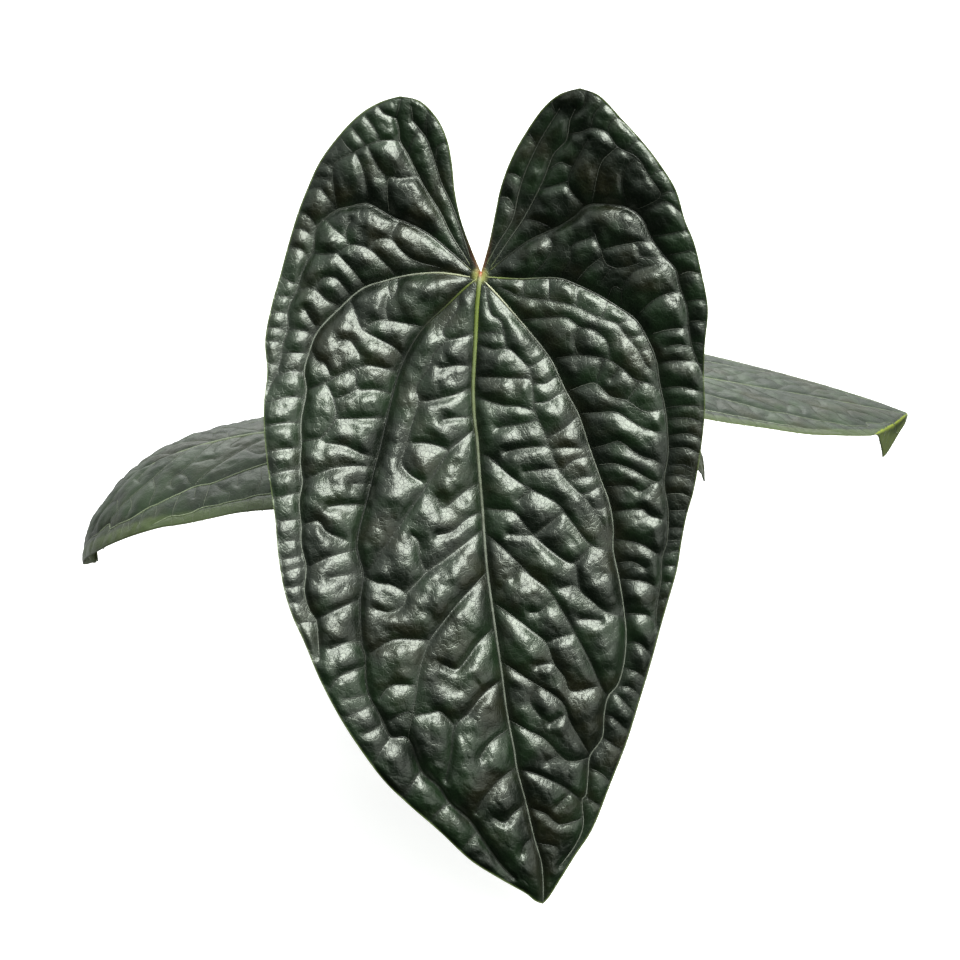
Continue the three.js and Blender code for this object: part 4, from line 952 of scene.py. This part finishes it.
def makeVeins(name):
    # the radius falls from start + (end - start) share^power and closes over the last few points. On small
    # leaves the veins are thinner, but by less than the leaf, and their points are further apart on it
    size, place = leafSizes[name], leafPlaces[name]
    height, _ = reliefs[name]
    random = np.random.default_rng(size["seed"] + 2)
    parts = Parts()
    lines = [(line, veins[kind]) for line, kind in zip(mainRibs, veins["kinds"])]
    lines += [(line, veins["crease"]) for line in creases]
    for line, kind in lines:
        flat = smoothLine(line, step=veins["step"] / size["scale"] ** veins["stepPower"])
        point, normal = place(flat)
        share = np.linspace(0, 1, len(flat))
        fromEnd = np.minimum(share, 1 - share) * len(flat)
        close = np.sqrt(np.clip(fromEnd / veins["closing"] + veins["bluntEnd"], 0, 1))
        rise = sample(height, flat) * size["scale"] * size["pucker"] * smoothed(flat, size)[0]
        star = np.linalg.norm(flat, axis=-1)
        tone = np.clip(kind["pale"] + veins["toneSpread"] * random.standard_normal(), 0, 1)
        pale = size["veinPale"] * (veins["creasePale"] if kind is veins["crease"] else 1)
        green, white, red = (bell(star, width) for width in (kind["green"], kind["white"], veins["red"]))
        marks = sixMarks(green, tone, white, pale, red)
        for side, (start, end), finish in ((1, kind["radius"], 0), (-1, kind["under"], 1)):
            radius = (start + (end - start) * share ** veins["taperPower"]) * close
            radius = radius * size["scale"] ** veins["sizePower"] * size["cord"]
            above, below = (veins[key] * size["scale"] for key in ("lift", "sunk"))
            sink = above if side > 0 else -size["skin"] - below
            path = point + normal * (rise + sink)[:, None]
            points, faces = tube(path, radius, veins["sides"], normal)
            ringMarks = np.concatenate([np.repeat(marks, veins["sides"], axis=0), marks[[0, -1]]])
            parts.addForm(points, faces, ringMarks, finish)
    parts.build(f"{name}_veins", veinFinishes, "leaf")


# Petioles: from the stem to the midrib just below the notch, thickened at the joint under the blade
petioles = dict(
    main=dict(radius=2.5, knee=3.2, joint=14, foot=(2.2, 0, 108), through=((2.4, 2, 140), (1.6, -9, 170))),
    left=dict(radius=1.9, knee=2.5, joint=10, foot=(-2, 4, 112), through=((-12, 4, 119), (-28, 0.5, 121))),
    right=dict(radius=1.9, knee=2.5, joint=10, foot=(6, 4.5, 110), through=((12, 6, 124), (25, 11, 134))),
    back=dict(radius=1.6, knee=2.1, joint=8, foot=(5, 9, 110), through=((9, 21, 115), (16, 33, 119))),
)
petioleShape = dict(
    flare=1.2, flareHeight=9, brownFoot=14, square=0.07, knots=(7, 0.02), belowNotch=5.5, sides=28, rings=110,
    into=0.35,
)


def lattice(random, u, v, count=64):
    # smooth noise from -1 to 1 on the plane, one step for each whole number of u and v, repeating
    values = random.uniform(-1, 1, (count, count))
    i, j = np.floor(u).astype(int), np.floor(v).astype(int)
    s, t = u - i, v - j
    s, t = s * s * (3 - 2 * s), t * t * (3 - 2 * t)
    i0, j0, i1, j1 = i % count, j % count, (i + 1) % count, (j + 1) % count
    lower = values[j0, i0] * (1 - s) + values[j0, i1] * s
    return lower * (1 - t) + (values[j1, i0] * (1 - s) + values[j1, i1] * s) * t


def makePetiole(name):
    # radius + (knee - radius) e^-(from top / joint)^4 + flare e^-(from foot / its height)^2, slightly
    # square; what would pass through the blade is pressed flat against it
    size, shape, place = petioles[name], petioleShape, leafPlaces[name]
    joint = np.array([-0.5, -shape["belowNotch"]])
    point, normal = place(joint)
    rise = sample(reliefs[name][0], joint) * leafSizes[name]["scale"] * leafSizes[name]["pucker"]
    path = smoothLine([size["foot"], *size["through"], point + normal], count=shape["rings"])
    arc = np.linspace(0, np.sum(np.linalg.norm(np.diff(path, axis=0), axis=1)), len(path))
    swollen = np.exp(-((arc[-1] - arc) / size["joint"]) ** 4)
    radius = size["radius"] + (size["knee"] - size["radius"]) * swollen
    radius = radius + shape["flare"] * bell(arc, shape["flareHeight"])
    knotSpacing, knotShare = shape["knots"]
    radius = radius * (1 + knotShare * lattice(np.random.default_rng(len(name)), arc / knotSpacing, 0 * arc))
    points, faces = tube(path, radius, shape["sides"], up=(0.3, 1, 0.2), square=shape["square"])
    over = (points - point) @ normal - rise + shape["into"]
    points = points - np.maximum(over, 0)[:, None] * normal
    share = np.r_[np.repeat(arc / arc[-1], shape["sides"]), 0, 1]
    marks = sixMarks(bell((1 - share) * arc[-1], size["joint"]), bell(share * arc[-1], shape["brownFoot"]))
    names = f"{name}_petiole", f"{name}_leaf_petiole"
    singleForm(*names, petioleFinish, "petiole", points, faces, marks)


# Stem: rings of old leaf scars, brown shreds of old sheaths, and roots that arch down into the mix
stem = dict(
    at=(2, 4), radius=8.6, foot=64, top=118, scarSpacing=6.5, scarRise=0.7, sides=72, rings=170,
    roots=(                                                           # heading, reach, height, radius
        (-64, 15, 106, 1.6), (22, 17, 103, 1.5), (100, 14, 107, 1.7), (158, 18, 102, 1.5),
        (232, 15, 105, 1.4),
    ),
    rootSides=16, rootRings=60, rootTaper=0.35, rootKnots=0.09,
    bark=(0.22, 0.12), greenFrom=108, greenOver=10, shreds=26, shredSides=8, shredRings=16, seed=5,
)
soil = dict(level=93.0, lump=1.2, gap=0.3, sides=200, rings=90, seed=7, chips=420, grit=170)


def makeStem():
    # radius min(1, 0.55 + 3t) min(1, 0.5 + 4 (1 - t)) + a ridge at each scar, which tilts round the stem,
    # and bark in two sizes
    random = np.random.default_rng(stem["seed"])
    (x, y), foot, top = stem["at"], stem["foot"], stem["top"]
    through = [(x, y, foot), (x, y, 92), (x - 0.6, y + 0.5, 106), (x, y + 1, top)]
    axis = smoothLine(through, count=stem["rings"])
    t = np.linspace(0, 1, len(axis))[:, None]
    around = angles(stem["sides"])
    height = t * (top - foot) + 0.9 * np.sin(around + 4.0 * t) + 0.4 * np.sin(2 * around + 1)
    body = np.minimum(1, 0.55 + 3 * t) * np.minimum(1, 0.5 + 4 * (1 - t)) * stem["radius"]
    phase = height / stem["scarSpacing"]
    ridge = np.abs(np.cos(phase * np.pi)) ** 4
    edge = bell((phase - 0.5) % 1 - 0.5, 0.09)
    turn = around / (2 * np.pi) * 64
    coarse, fine = stem["bark"]
    bark = coarse * lattice(random, turn / 2, height / 1.6) + fine * lattice(random, turn, height / 0.7)
    radius = body + stem["scarRise"] * ridge - 0.3 * edge + bark
    ring = joined(np.cos(around), -np.sin(around), 0)
    points, faces = closedTube(axis[:, None] + radius[..., None] * ring[None])
    parts = Parts()
    green = np.clip((points[:, 2] - stem["greenFrom"]) / stem["greenOver"], 0, 1)
    parts.addForm(points, faces, sixMarks(np.r_[ridge.ravel(), 0, 0], np.r_[edge.ravel(), 0, 0], green))
    for heading, reach, start, thick in stem["roots"]:
        # a root leaves the stem level, arches over and goes straight down
        c, s = math.cos(math.radians(heading)), math.sin(math.radians(heading))
        route = ((3, 0), (0.62 * reach, 1.5), (reach, -6), (reach + 1.5, soil["level"] - 12 - start))
        through = [(x + c * out, y + s * out, start + rise) for out, rise in route]
        path = smoothLine(through, count=stem["rootRings"])
        share = np.linspace(0, 1, len(path))
        radius = thick * (1 - stem["rootTaper"] * share)
        radius *= 1 + stem["rootKnots"] * lattice(random, share * 9 + heading, share * 0)
        points, faces = tube(path, radius, stem["rootSides"], up=(-s, c, 0))
        far = np.r_[np.repeat(share, stem["rootSides"]), 0, 1]
        parts.addForm(points, faces, sixMarks(0, 0, 0, 1, far))
    for _ in range(stem["shreds"]):
        # a flat fibre lies on the stem from one scar up past the next, and its free end bends away
        angle, low = random.uniform(0, 2 * np.pi), random.uniform(92, 108)
        long, lean = random.uniform(7, 15), random.uniform(0.5, 3.0)
        t = np.linspace(0, 1, stem["shredRings"])
        out = stem["radius"] * 0.98 + 0.6 + lean * t**3
        bearing = angle + random.uniform(-0.35, 0.35) * t**2
        rise = low + long * t - 1.5 * lean * t**4
        path = joined(x + out * np.cos(bearing), y + out * np.sin(bearing), rise)
        outward = joined(np.cos(bearing), np.sin(bearing), 0)
        wide = random.uniform(0.5, 1.5) * np.sqrt(1.02 - t) * (0.6 + 0.4 * np.sin(np.pi * t))
        points, faces = tube(path, wide, stem["shredSides"], up=outward, flat=0.16)
        parts.addForm(points, faces, sixMarks(0, 0, 0, 0, 0, np.full(len(points), random.uniform(0.3, 1))))
    parts.build("short_stem", [stemFinish], "stem", "stem")


# Pot: a tapered wall with a thick straight rim band and drain holes
pot = dict(
    height=105.0, rimRadius=60.0, footRadius=43.8, neckRadius=57.6, wall=1.8, floor=3.0, rimHeight=10.0,
    holes=6, holeRadius=4.0, holeRing=30.0, sides=160, round=0.45,
)


def innerRadius(height):
    slope = (pot["neckRadius"] - pot["footRadius"]) / (pot["height"] - pot["rimHeight"])
    return pot["footRadius"] + slope * height - pot["wall"]


def rounded(profile, size):
    # each corner becomes a short arc, (1-t)^2 a + 2t (1-t) corner + t^2 b, with a point set back on both
    # sides of it, so that the shading stays at the corner
    p = np.array(profile, float)
    out = [p[:1]]
    for before, corner, after in zip(p[:-2], p[1:-1], p[2:]):
        reach = min(size, np.linalg.norm(before - corner) / 2.6, np.linalg.norm(after - corner) / 2.6)
        a, b = corner + reach * unit(before - corner), corner + reach * unit(after - corner)
        t = np.linspace(0, 1, 6)[:, None]
        arc = (1 - t) ** 2 * a + 2 * t * (1 - t) * corner + t**2 * b
        out += [(a + 0.25 * (a - corner))[None], arc, (b + 0.25 * (b - corner))[None]]
    return np.vstack([*out, p[-1:]])


def turnedFaces(profile, sides):
    # a profile of radius and height, turned about +Z from axis to axis
    ring = joined(np.cos(angles(sides)), np.sin(angles(sides)))
    inner = profile[1:-1]
    grid = np.concatenate([inner[:, None, :1] * ring, np.repeat(inner[:, None, 1:], sides, axis=1)], axis=-1)
    return closedTube(grid, [(0, 0, profile[0, 1]), (0, 0, profile[-1, 1])])


def makePot():
    height, band, top = pot["height"], pot["height"] - pot["rimHeight"], pot["height"] - 1
    foot, floorHeight = pot["footRadius"], pot["floor"]
    profile = [
        (0, 0.6), (foot - 7, 0.6), (foot - 6, 0), (foot - 1.2, 0), (foot, 1.4), (foot + 0.15, 2.4),
        (pot["neckRadius"], band - 1), (pot["rimRadius"] - 0.6, band), (pot["rimRadius"], band + 1),
        (pot["rimRadius"], top), (pot["rimRadius"] - 0.8, height), (innerRadius(height) + 0.8, height),
        (innerRadius(height), top), (innerRadius(band) - 0.5, band - 1.5), (innerRadius(band - 3), band - 3),
        (innerRadius(floorHeight), floorHeight), (0, floorHeight),
    ]
    points, faces = turnedFaces(rounded(profile, pot["round"]), pot["sides"])
    piece = singleForm("nursery_pot", "pot", potFinish, "pot", points, faces)
    cutters = []
    for angle in angles(pot["holes"]):
        x, y = pot["holeRing"] * math.cos(angle), pot["holeRing"] * math.sin(angle)
        bpy.ops.mesh.primitive_cylinder_add(
            vertices=40, radius=pot["holeRadius"] * mm, depth=6 * floorHeight * mm,
            location=(x * mm, y * mm, 0))
        cutters.append(bpy.context.object)
        cut = piece.modifiers.new("drain", "BOOLEAN")
        cut.operation, cut.solver, cut.object = "DIFFERENCE", "EXACT", cutters[-1]
    cleared = bpy.data.meshes.new_from_object(piece.evaluated_get(bpy.context.evaluated_depsgraph_get()))
    piece.modifiers.clear()
    piece.data = cleared
    for cutter in cutters:
        bpy.data.objects.remove(cutter)


# Potting mix: a lumpy surface with chips of bark and pale grit lying on it
def soilHeight(x, y, random):
    lumps = np.sin(0.61 * x + 1.3 * np.sin(0.37 * y)) + np.sin(0.53 * y + 1.7 * np.sin(0.43 * x))
    edge = innerRadius(soil["level"]) - soil["gap"] - np.hypot(x, y)
    crumbs = 0.5 * lattice(random, x / 2.6 + 9, y / 2.6) + 0.3 * lattice(random, x / 1.2, y / 1.2 + 5)
    return soil["level"] + (0.5 * soil["lump"] * lumps + crumbs) * np.clip(edge / 6, 0, 1)


def makeSoil():
    wall = innerRadius(soil["level"]) - soil["gap"]
    bottom = pot["floor"] + soil["gap"]
    steps = np.linspace(wall, 0, soil["rings"] + 1)[:-1]
    profile = np.array([(0, bottom), (innerRadius(bottom) - soil["gap"], bottom),
                        *[(r, soil["level"]) for r in steps], (0, soil["level"])])
    points, faces = turnedFaces(profile, soil["sides"])
    over = points[:, 2] > soil["level"] - 0.01
    random = np.random.default_rng(soil["seed"])
    points[over, 2] = soilHeight(points[over, 0], points[over, 1], random)
    singleForm("potting_mix", "soil", soilFinish, "soil", points, faces)


def scatter(name, count, sizes, finish, seed, rough, smooth):
    # small closed lumps, x = sx cos a sin b and so on with each point moved at random, turned at random and
    # laid half sunk into the mix, clear of the wall and the stem
    random = np.random.default_rng(seed)
    boxy = 0.7
    a, b = angles(8), np.linspace(0, np.pi, 6)[1:-1, None]
    body = joined(np.sin(b) * np.cos(a), np.sin(b) * np.sin(a), np.cos(b))
    body = np.sign(body) * np.abs(body) ** boxy
    base, faces = closedTube(body[::-1])
    size = random.uniform(*np.array(sizes), (count, 3))
    lumps = base[None] * size[:, None] * (1 + rough * random.uniform(-1, 1, (count, len(base), 1)))
    turn = random.uniform(0, 2 * np.pi, count)
    tilt = random.normal(0, 0.3, (count, 2))
    flatX = joined(np.cos(turn), np.sin(turn), tilt[:, 0])
    up = unit(joined(tilt[:, 1], -tilt[:, 0], 1))
    flatX = unit(flatX - up * np.sum(flatX * up, axis=-1, keepdims=True))
    basis = np.stack([flatX, np.cross(up, flatX), up], axis=1)
    reachOut = innerRadius(soil["level"]) - 1.2 - size.max(axis=1)
    r = np.sqrt(random.uniform(0.03, 1, count)) * reachOut
    angle = random.uniform(0, 2 * np.pi, count)
    x, y = r * np.cos(angle), r * np.sin(angle)
    z = soilHeight(x, y, np.random.default_rng(soil["seed"])) + size[:, 2] * random.uniform(0.0, 0.75, count)
    lumps = np.einsum("nvk,nkd->nvd", lumps, basis) + joined(x, y, z)[:, None]
    clear = np.hypot(x - stem["at"][0], y - stem["at"][1]) > stem["radius"] + 1.0
    tones = random.uniform(0, 1, (count, 1, 6)) * np.ones((1, len(base), 1))
    parts = Parts()
    for lump, tone in zip(lumps[clear], tones[clear]):
        parts.addForm(lump, faces, tone, smooth=smooth)
    parts.build(name, [finish], "soil")


# Sheath: a pointed papery roll, whose section is a spiral of a little more than one turn
sheath = dict(
    radius=2.6, point=0.35, through=((0, 9, 112), (-1.5, 11, 128), (-4, 14, 146), (-7.5, 17, 162)),
    turns=1.18, skin=0.22, lap=0.28, rings=90, around=44,
)


def makeSheath():
    # the spiral's radius is r (1 - lap / 2 + lap a / all), out along the outside and back along the inside
    path = smoothLine(sheath["through"], count=sheath["rings"])
    t = np.linspace(0, 1, len(path))
    radius = sheath["radius"] * (1 - t**2) + sheath["point"]
    side, rise = framesAlong(path, up=(1, 0.2, 0))
    share = np.linspace(0, 1, sheath["around"])
    a = 2 * np.pi * sheath["turns"] * share + 1.2
    outer = radius[:, None] * (1 - sheath["lap"] / 2 + sheath["lap"] * share)
    outer = outer * (1 + 0.02 * np.sin(9 * a))
    inner = np.maximum(outer - sheath["skin"], 0.12)
    r = np.concatenate([outer, inner[:, ::-1]], axis=1)[..., None]
    a = np.concatenate([a, a[::-1]])[None, :, None]
    grid = path[:, None] + r * (side[:, None] * np.cos(a) + rise[:, None] * np.sin(a))
    marks = sixMarks(np.r_[np.repeat(t, grid.shape[1]), 0, 1])
    points, faces = closedTube(grid)
    singleForm("young_leaf_sheath", "new_leaf_sheath", sheathFinish, "sheath", points, faces, marks)


# Finishes
def leafSkin(name, gloss, dark, light, olive):
    # dark green leather, olive in places: its gloss is broken by fine wrinkles; green at the star and
    # brown-red at the notch. Painted shade darkens it along the creases, and the paler margin is painted
    # sheen on the left and right leaves
    green = (0.93, 1.0, 0.87, 1.0)
    skin = Finish(
        name, Specular_IOR_Level=0.8 * gloss, Specular_Tint=green, Coat_Roughness=0.2, Coat_Tint=green)
    crease, margin, star, notchRed, patch = skin.marks(1, 2, 3, 4, 5)
    tone = skin.layered(
        skin.mix(patch.between(0.2, 0.8), dark, light),
        (skin.noise(17, 3).between(0.48, 0.72) * 0.8, olive),
        # painted shade in the creases and the net, with some darker tone at random from the noise
        (skin.noise(0.8, 2) * 0.3 + crease * 0.6, (0.001, 0.002, 0.001)),
        # paler margin: thin on the largest leaf, a wide band of painted sheen on the left and right leaves
        (margin.between(0.85, 1.0) * 0.8, (0.11, 0.15, 0.045)),
        (star.between(0.1, 0.9), (0.36, 0.38, 0.12)),
        (notchRed * 0.9, (0.22, 0.035, 0.012)))
    wrinkles = skin.noise(1.3, 3)
    folds = skin.cells(1.7, "DISTANCE_TO_EDGE").between(0.0, 0.16)
    pores = skin.noise(0.3, 2)
    rough = 0.28 + 0.12 * skin.noise(2.6, 3) + 0.05 * (1 - folds)
    surface = skin.bump(pores, 0.03, skin.bump(folds, 0.04, skin.bump(wrinkles, 0.09)))
    coat = (0.15 + 0.2 * patch) * gloss
    return skin.feed(Base_Color=tone, Roughness=rough, Coat_Weight=coat, Normal=surface)


def leafUnderside():
    # paler and duller, with a fine net of darker green between the veins
    skin = Finish("leaf_underside", Roughness=0.55, Specular_IOR_Level=0.35)
    net = skin.cells(1.7, "DISTANCE_TO_EDGE").between(0.0, 0.2)
    rib = skin.marks(0)[0]
    tone = skin.mix(skin.noise(12, 3), (0.115, 0.165, 0.065), (0.16, 0.21, 0.09))
    tone = skin.mix(net * 0.45, (0.21, 0.26, 0.12), tone)
    tone = skin.mix(rib * 0.6, tone, (0.3, 0.36, 0.16))
    surface = skin.bump(1 - net, 0.08, skin.bump(skin.noise(0.6, 3), 0.06))
    return skin.feed(Base_Color=tone, Normal=surface)


def foldedTip():
    # the tip that is folded down, painted as the underside in shade: dark olive, with a painted highlight
    # along the fold and painted light through its thin margins
    tip = Finish("folded_tip", Roughness=0.7, Specular_IOR_Level=0.15)
    beyond, margin = tip.marks(0, 2)
    tone = tip.layered(
        # painted shade: the underside's green darkened to olive as if in shadow
        tip.mix(tip.noise(4, 3), (0.016, 0.03, 0.003), (0.04, 0.058, 0.006)),
        # painted light through the thin margins
        (margin.between(0.8, 1.0) * 0.5, (0.18, 0.23, 0.07)),
        # painted highlight along the fold
        ((1 - beyond).between(0.2, 0.8), (0.26, 0.32, 0.05)))
    return tip.feed(Base_Color=tone, Normal=tip.bump(tip.noise(0.8, 2), 0.05))


def leafRim():
    rim = Finish("leaf_rim", Roughness=0.5)
    return rim.feed(Base_Color=rim.mix(rim.noise(6, 2), (0.1, 0.14, 0.05), (0.2, 0.24, 0.11)))


def upperVeins():
    # yellow-green near the star, thin and pale grey further out, dark where a vein is faint
    vein = Finish("vein_upper", Roughness=0.4)
    glow, pale, centre, grey, notchRed = vein.marks(0, 1, 2, 3, 4)
    tone = vein.layered(
        vein.mix(pale, (0.01, 0.014, 0.008), (0.15, 0.17, 0.13)),
        (vein.noise(2.2, 3).between(0.4, 0.7) * 0.5, (0.03, 0.035, 0.02)),
        (glow, (0.12, 0.165, 0.022)),
        (centre * 0.8, (0.4, 0.42, 0.24)),
        (grey, (0.24, 0.29, 0.17)),
        (notchRed, (0.34, 0.05, 0.015)))
    return vein.feed(Base_Color=tone, Normal=vein.bump(vein.noise(0.6, 2), 0.05))


def undersideVeins():
    vein = Finish("vein_underside", Roughness=0.5)
    tone = vein.mix(vein.noise(5, 3), (0.26, 0.32, 0.13), (0.38, 0.43, 0.21))
    return vein.feed(Base_Color=tone, Normal=vein.bump(vein.noise(0.7, 2), 0.05))


def petioleSkin():
    # green with fine pale flecks drawn out along it, browner at the joint and the foot
    skin = Finish("petiole_skin", Roughness=0.42, Specular_IOR_Level=0.45)
    joint, foot = skin.marks(0, 1)
    flecks = skin.noise(0.7, 2, stretch=(1, 1, 0.25)).between(0.58, 0.7)
    tone = skin.layered(
        skin.mix(skin.noise(8, 3), (0.07, 0.125, 0.03), (0.12, 0.17, 0.05)),
        (flecks * 0.5, (0.25, 0.3, 0.13)),
        (joint * 0.55, (0.09, 0.1, 0.035)),
        (foot * 0.6, (0.14, 0.11, 0.05)))
    ridges = skin.noise(0.9, 3, stretch=(1, 1, 0.12))
    return skin.feed(Base_Color=tone, Normal=skin.bump(ridges, 0.12, skin.bump(skin.noise(0.35, 2), 0.03)))


def stemBark():
    # grey-brown cork with darker scar lines and a green top; tan roots, darker towards their far ends where
    # they go into the mix; brown shreds
    bark = Finish("stem_bark", Roughness=0.82, Specular_IOR_Level=0.25)
    ridge, scar, top, root, far, shred = bark.marks(0, 1, 2, 3, 4, 5)
    tone = bark.layered(
        bark.mix(bark.noise(2.4, 4), (0.1, 0.075, 0.042), (0.21, 0.17, 0.1)),
        (ridge * 0.35, (0.26, 0.21, 0.13)),
        (scar * 0.7, (0.045, 0.03, 0.017)),
        (top * 0.6, (0.1, 0.14, 0.045)))
    rootTone = bark.mix(bark.noise(1.5, 3), (0.22, 0.15, 0.085), (0.36, 0.28, 0.18))
    tone = bark.mix(root, tone, bark.mix(far * 0.35, rootTone, (0.12, 0.08, 0.045)))
    fibre = bark.mix(bark.noise(0.6, 3, stretch=(1, 1, 0.15)), (0.11, 0.062, 0.03), (0.3, 0.2, 0.11))
    tone = bark.mix(shred.between(0.0, 0.3), tone, fibre)
    surface = bark.bump(bark.noise(0.45, 3), 0.1, bark.bump(bark.noise(1.4, 4, stretch=(1, 1, 2.2)), 0.3))
    return bark.feed(Base_Color=tone, Normal=surface)


def mixEarth():
    earth = Finish("potting_earth", Roughness=0.95, Specular_IOR_Level=0.2)
    tone = earth.mix(earth.noise(3, 4), (0.028, 0.017, 0.01), (0.075, 0.048, 0.028))
    tone = earth.mix(earth.cells(1.6).between(0.5, 0.2) * 0.35, tone, (0.13, 0.09, 0.055))
    surface = earth.bump(earth.noise(1.1, 4), 0.7, earth.bump(earth.noise(0.4, 3), 0.2))
    return earth.feed(Base_Color=tone, Normal=surface)


def barkChip():
    chip = Finish("bark_chip", Roughness=0.85, Specular_IOR_Level=0.25)
    kind = chip.marks(0)[0]
    tone = chip.mix(kind, (0.07, 0.038, 0.02), (0.24, 0.14, 0.075))
    dark = chip.noise(1.2, 4, stretch=(1, 1, 3)).between(0.35, 0.7)
    tone = chip.mix(dark * 0.6, tone, (0.045, 0.026, 0.015))
    return chip.feed(Base_Color=tone, Normal=chip.bump(chip.noise(0.6, 4, stretch=(1, 1, 3)), 0.35))


def paleGrit():
    grit = Finish("pale_grit", Roughness=0.9)
    kind = grit.marks(0)[0]
    tone = grit.mix(kind, (0.36, 0.34, 0.3), (0.62, 0.6, 0.56))
    tone = grit.mix(grit.noise(0.5, 3).between(0.5, 0.75) * 0.5, tone, (0.2, 0.18, 0.15))
    return grit.feed(Base_Color=tone, Normal=grit.bump(grit.cells(0.35), 0.15))


def potPlastic():
    # black moulded plastic with a fine grain, faint scuffs and a little dust
    plastic = Finish("pot_plastic", Specular_IOR_Level=0.4)
    dust = plastic.noise(16, 4).between(0.5, 0.8)
    scuffs = plastic.noise(1.5, 3, stretch=(1, 1, 0.08)).between(0.6, 0.72)
    tone = plastic.mix(dust * 0.5, (0.012, 0.012, 0.012), (0.03, 0.029, 0.027))
    tone = plastic.mix(scuffs * 0.35, tone, (0.05, 0.049, 0.047))
    rough = 0.42 + 0.14 * dust + 0.12 * scuffs
    surface = plastic.bump(plastic.noise(0.4, 2), 0.03, plastic.bump(plastic.noise(26, 2), 0.25))
    return plastic.feed(Base_Color=tone, Roughness=rough, Normal=surface)


def sheathPaper():
    # dry papery tan, greener at its foot, with fine veins along it
    paper = Finish("sheath_paper", Roughness=0.7, Specular_IOR_Level=0.3)
    far = paper.marks(0)[0]
    fibres = paper.noise(0.5, 3, stretch=(1, 1, 0.06))
    tone = paper.layered(
        paper.mix(fibres, (0.2, 0.15, 0.075), (0.36, 0.3, 0.17)),
        ((1 - far).between(0.45, 1.0) * 0.7, (0.13, 0.17, 0.06)),
        (far.between(0.75, 1.0) * 0.6, (0.16, 0.09, 0.05)))
    return paper.feed(Base_Color=tone, Normal=paper.bump(fibres, 0.14))


leafSkins = dict(
    mature=leafSkin("leaf_skin", 1.0, (0.002, 0.005, 0.002), (0.0085, 0.021, 0.0075), (0.013, 0.013, 0.0045)),
    # the arched leaves' skin is a lighter copy of the mature one, which paints in the greyish sheen they show
    # at a grazing angle: painted sheen
    arched=leafSkin(
        "arched_leaf_skin", 0.65, (0.008, 0.017, 0.007), (0.022, 0.042, 0.016), (0.026, 0.026, 0.01)),
    # the back leaf's skin is paler still: a young leaf's lighter green, lightened further as painted sheen
    young=leafSkin("young_leaf_skin", 0.8, (0.13, 0.17, 0.065), (0.19, 0.23, 0.09), (0.16, 0.16, 0.07)),
)
leafFinishes = [leafUnderside(), leafRim(), foldedTip()]
veinFinishes = [upperVeins(), undersideVeins()]
petioleFinish, stemFinish, soilFinish = petioleSkin(), stemBark(), mixEarth()
potFinish, sheathFinish = potPlastic(), sheathPaper()
print("finishes ready")

for leafName in leafSizes:
    makeBlade(leafName)
    makeVeins(leafName)
    makePetiole(leafName)
print("leaves ready")
makeStem()
makeSheath()
makePot()
makeSoil()
scatter("bark_chips", soil["chips"], ((1.4, 1.0, 0.5), (4.2, 2.6, 1.3)), barkChip(), 3, 0.22, False)
scatter("grit_grains", soil["grit"], ((0.7, 0.6, 0.6), (1.7, 1.5, 1.4)), paleGrit(), 4, 0.12, True)
print("stem, pot and potting mix ready")


def corners(box):
    return [[float(value) for value in corner] for corner in box]
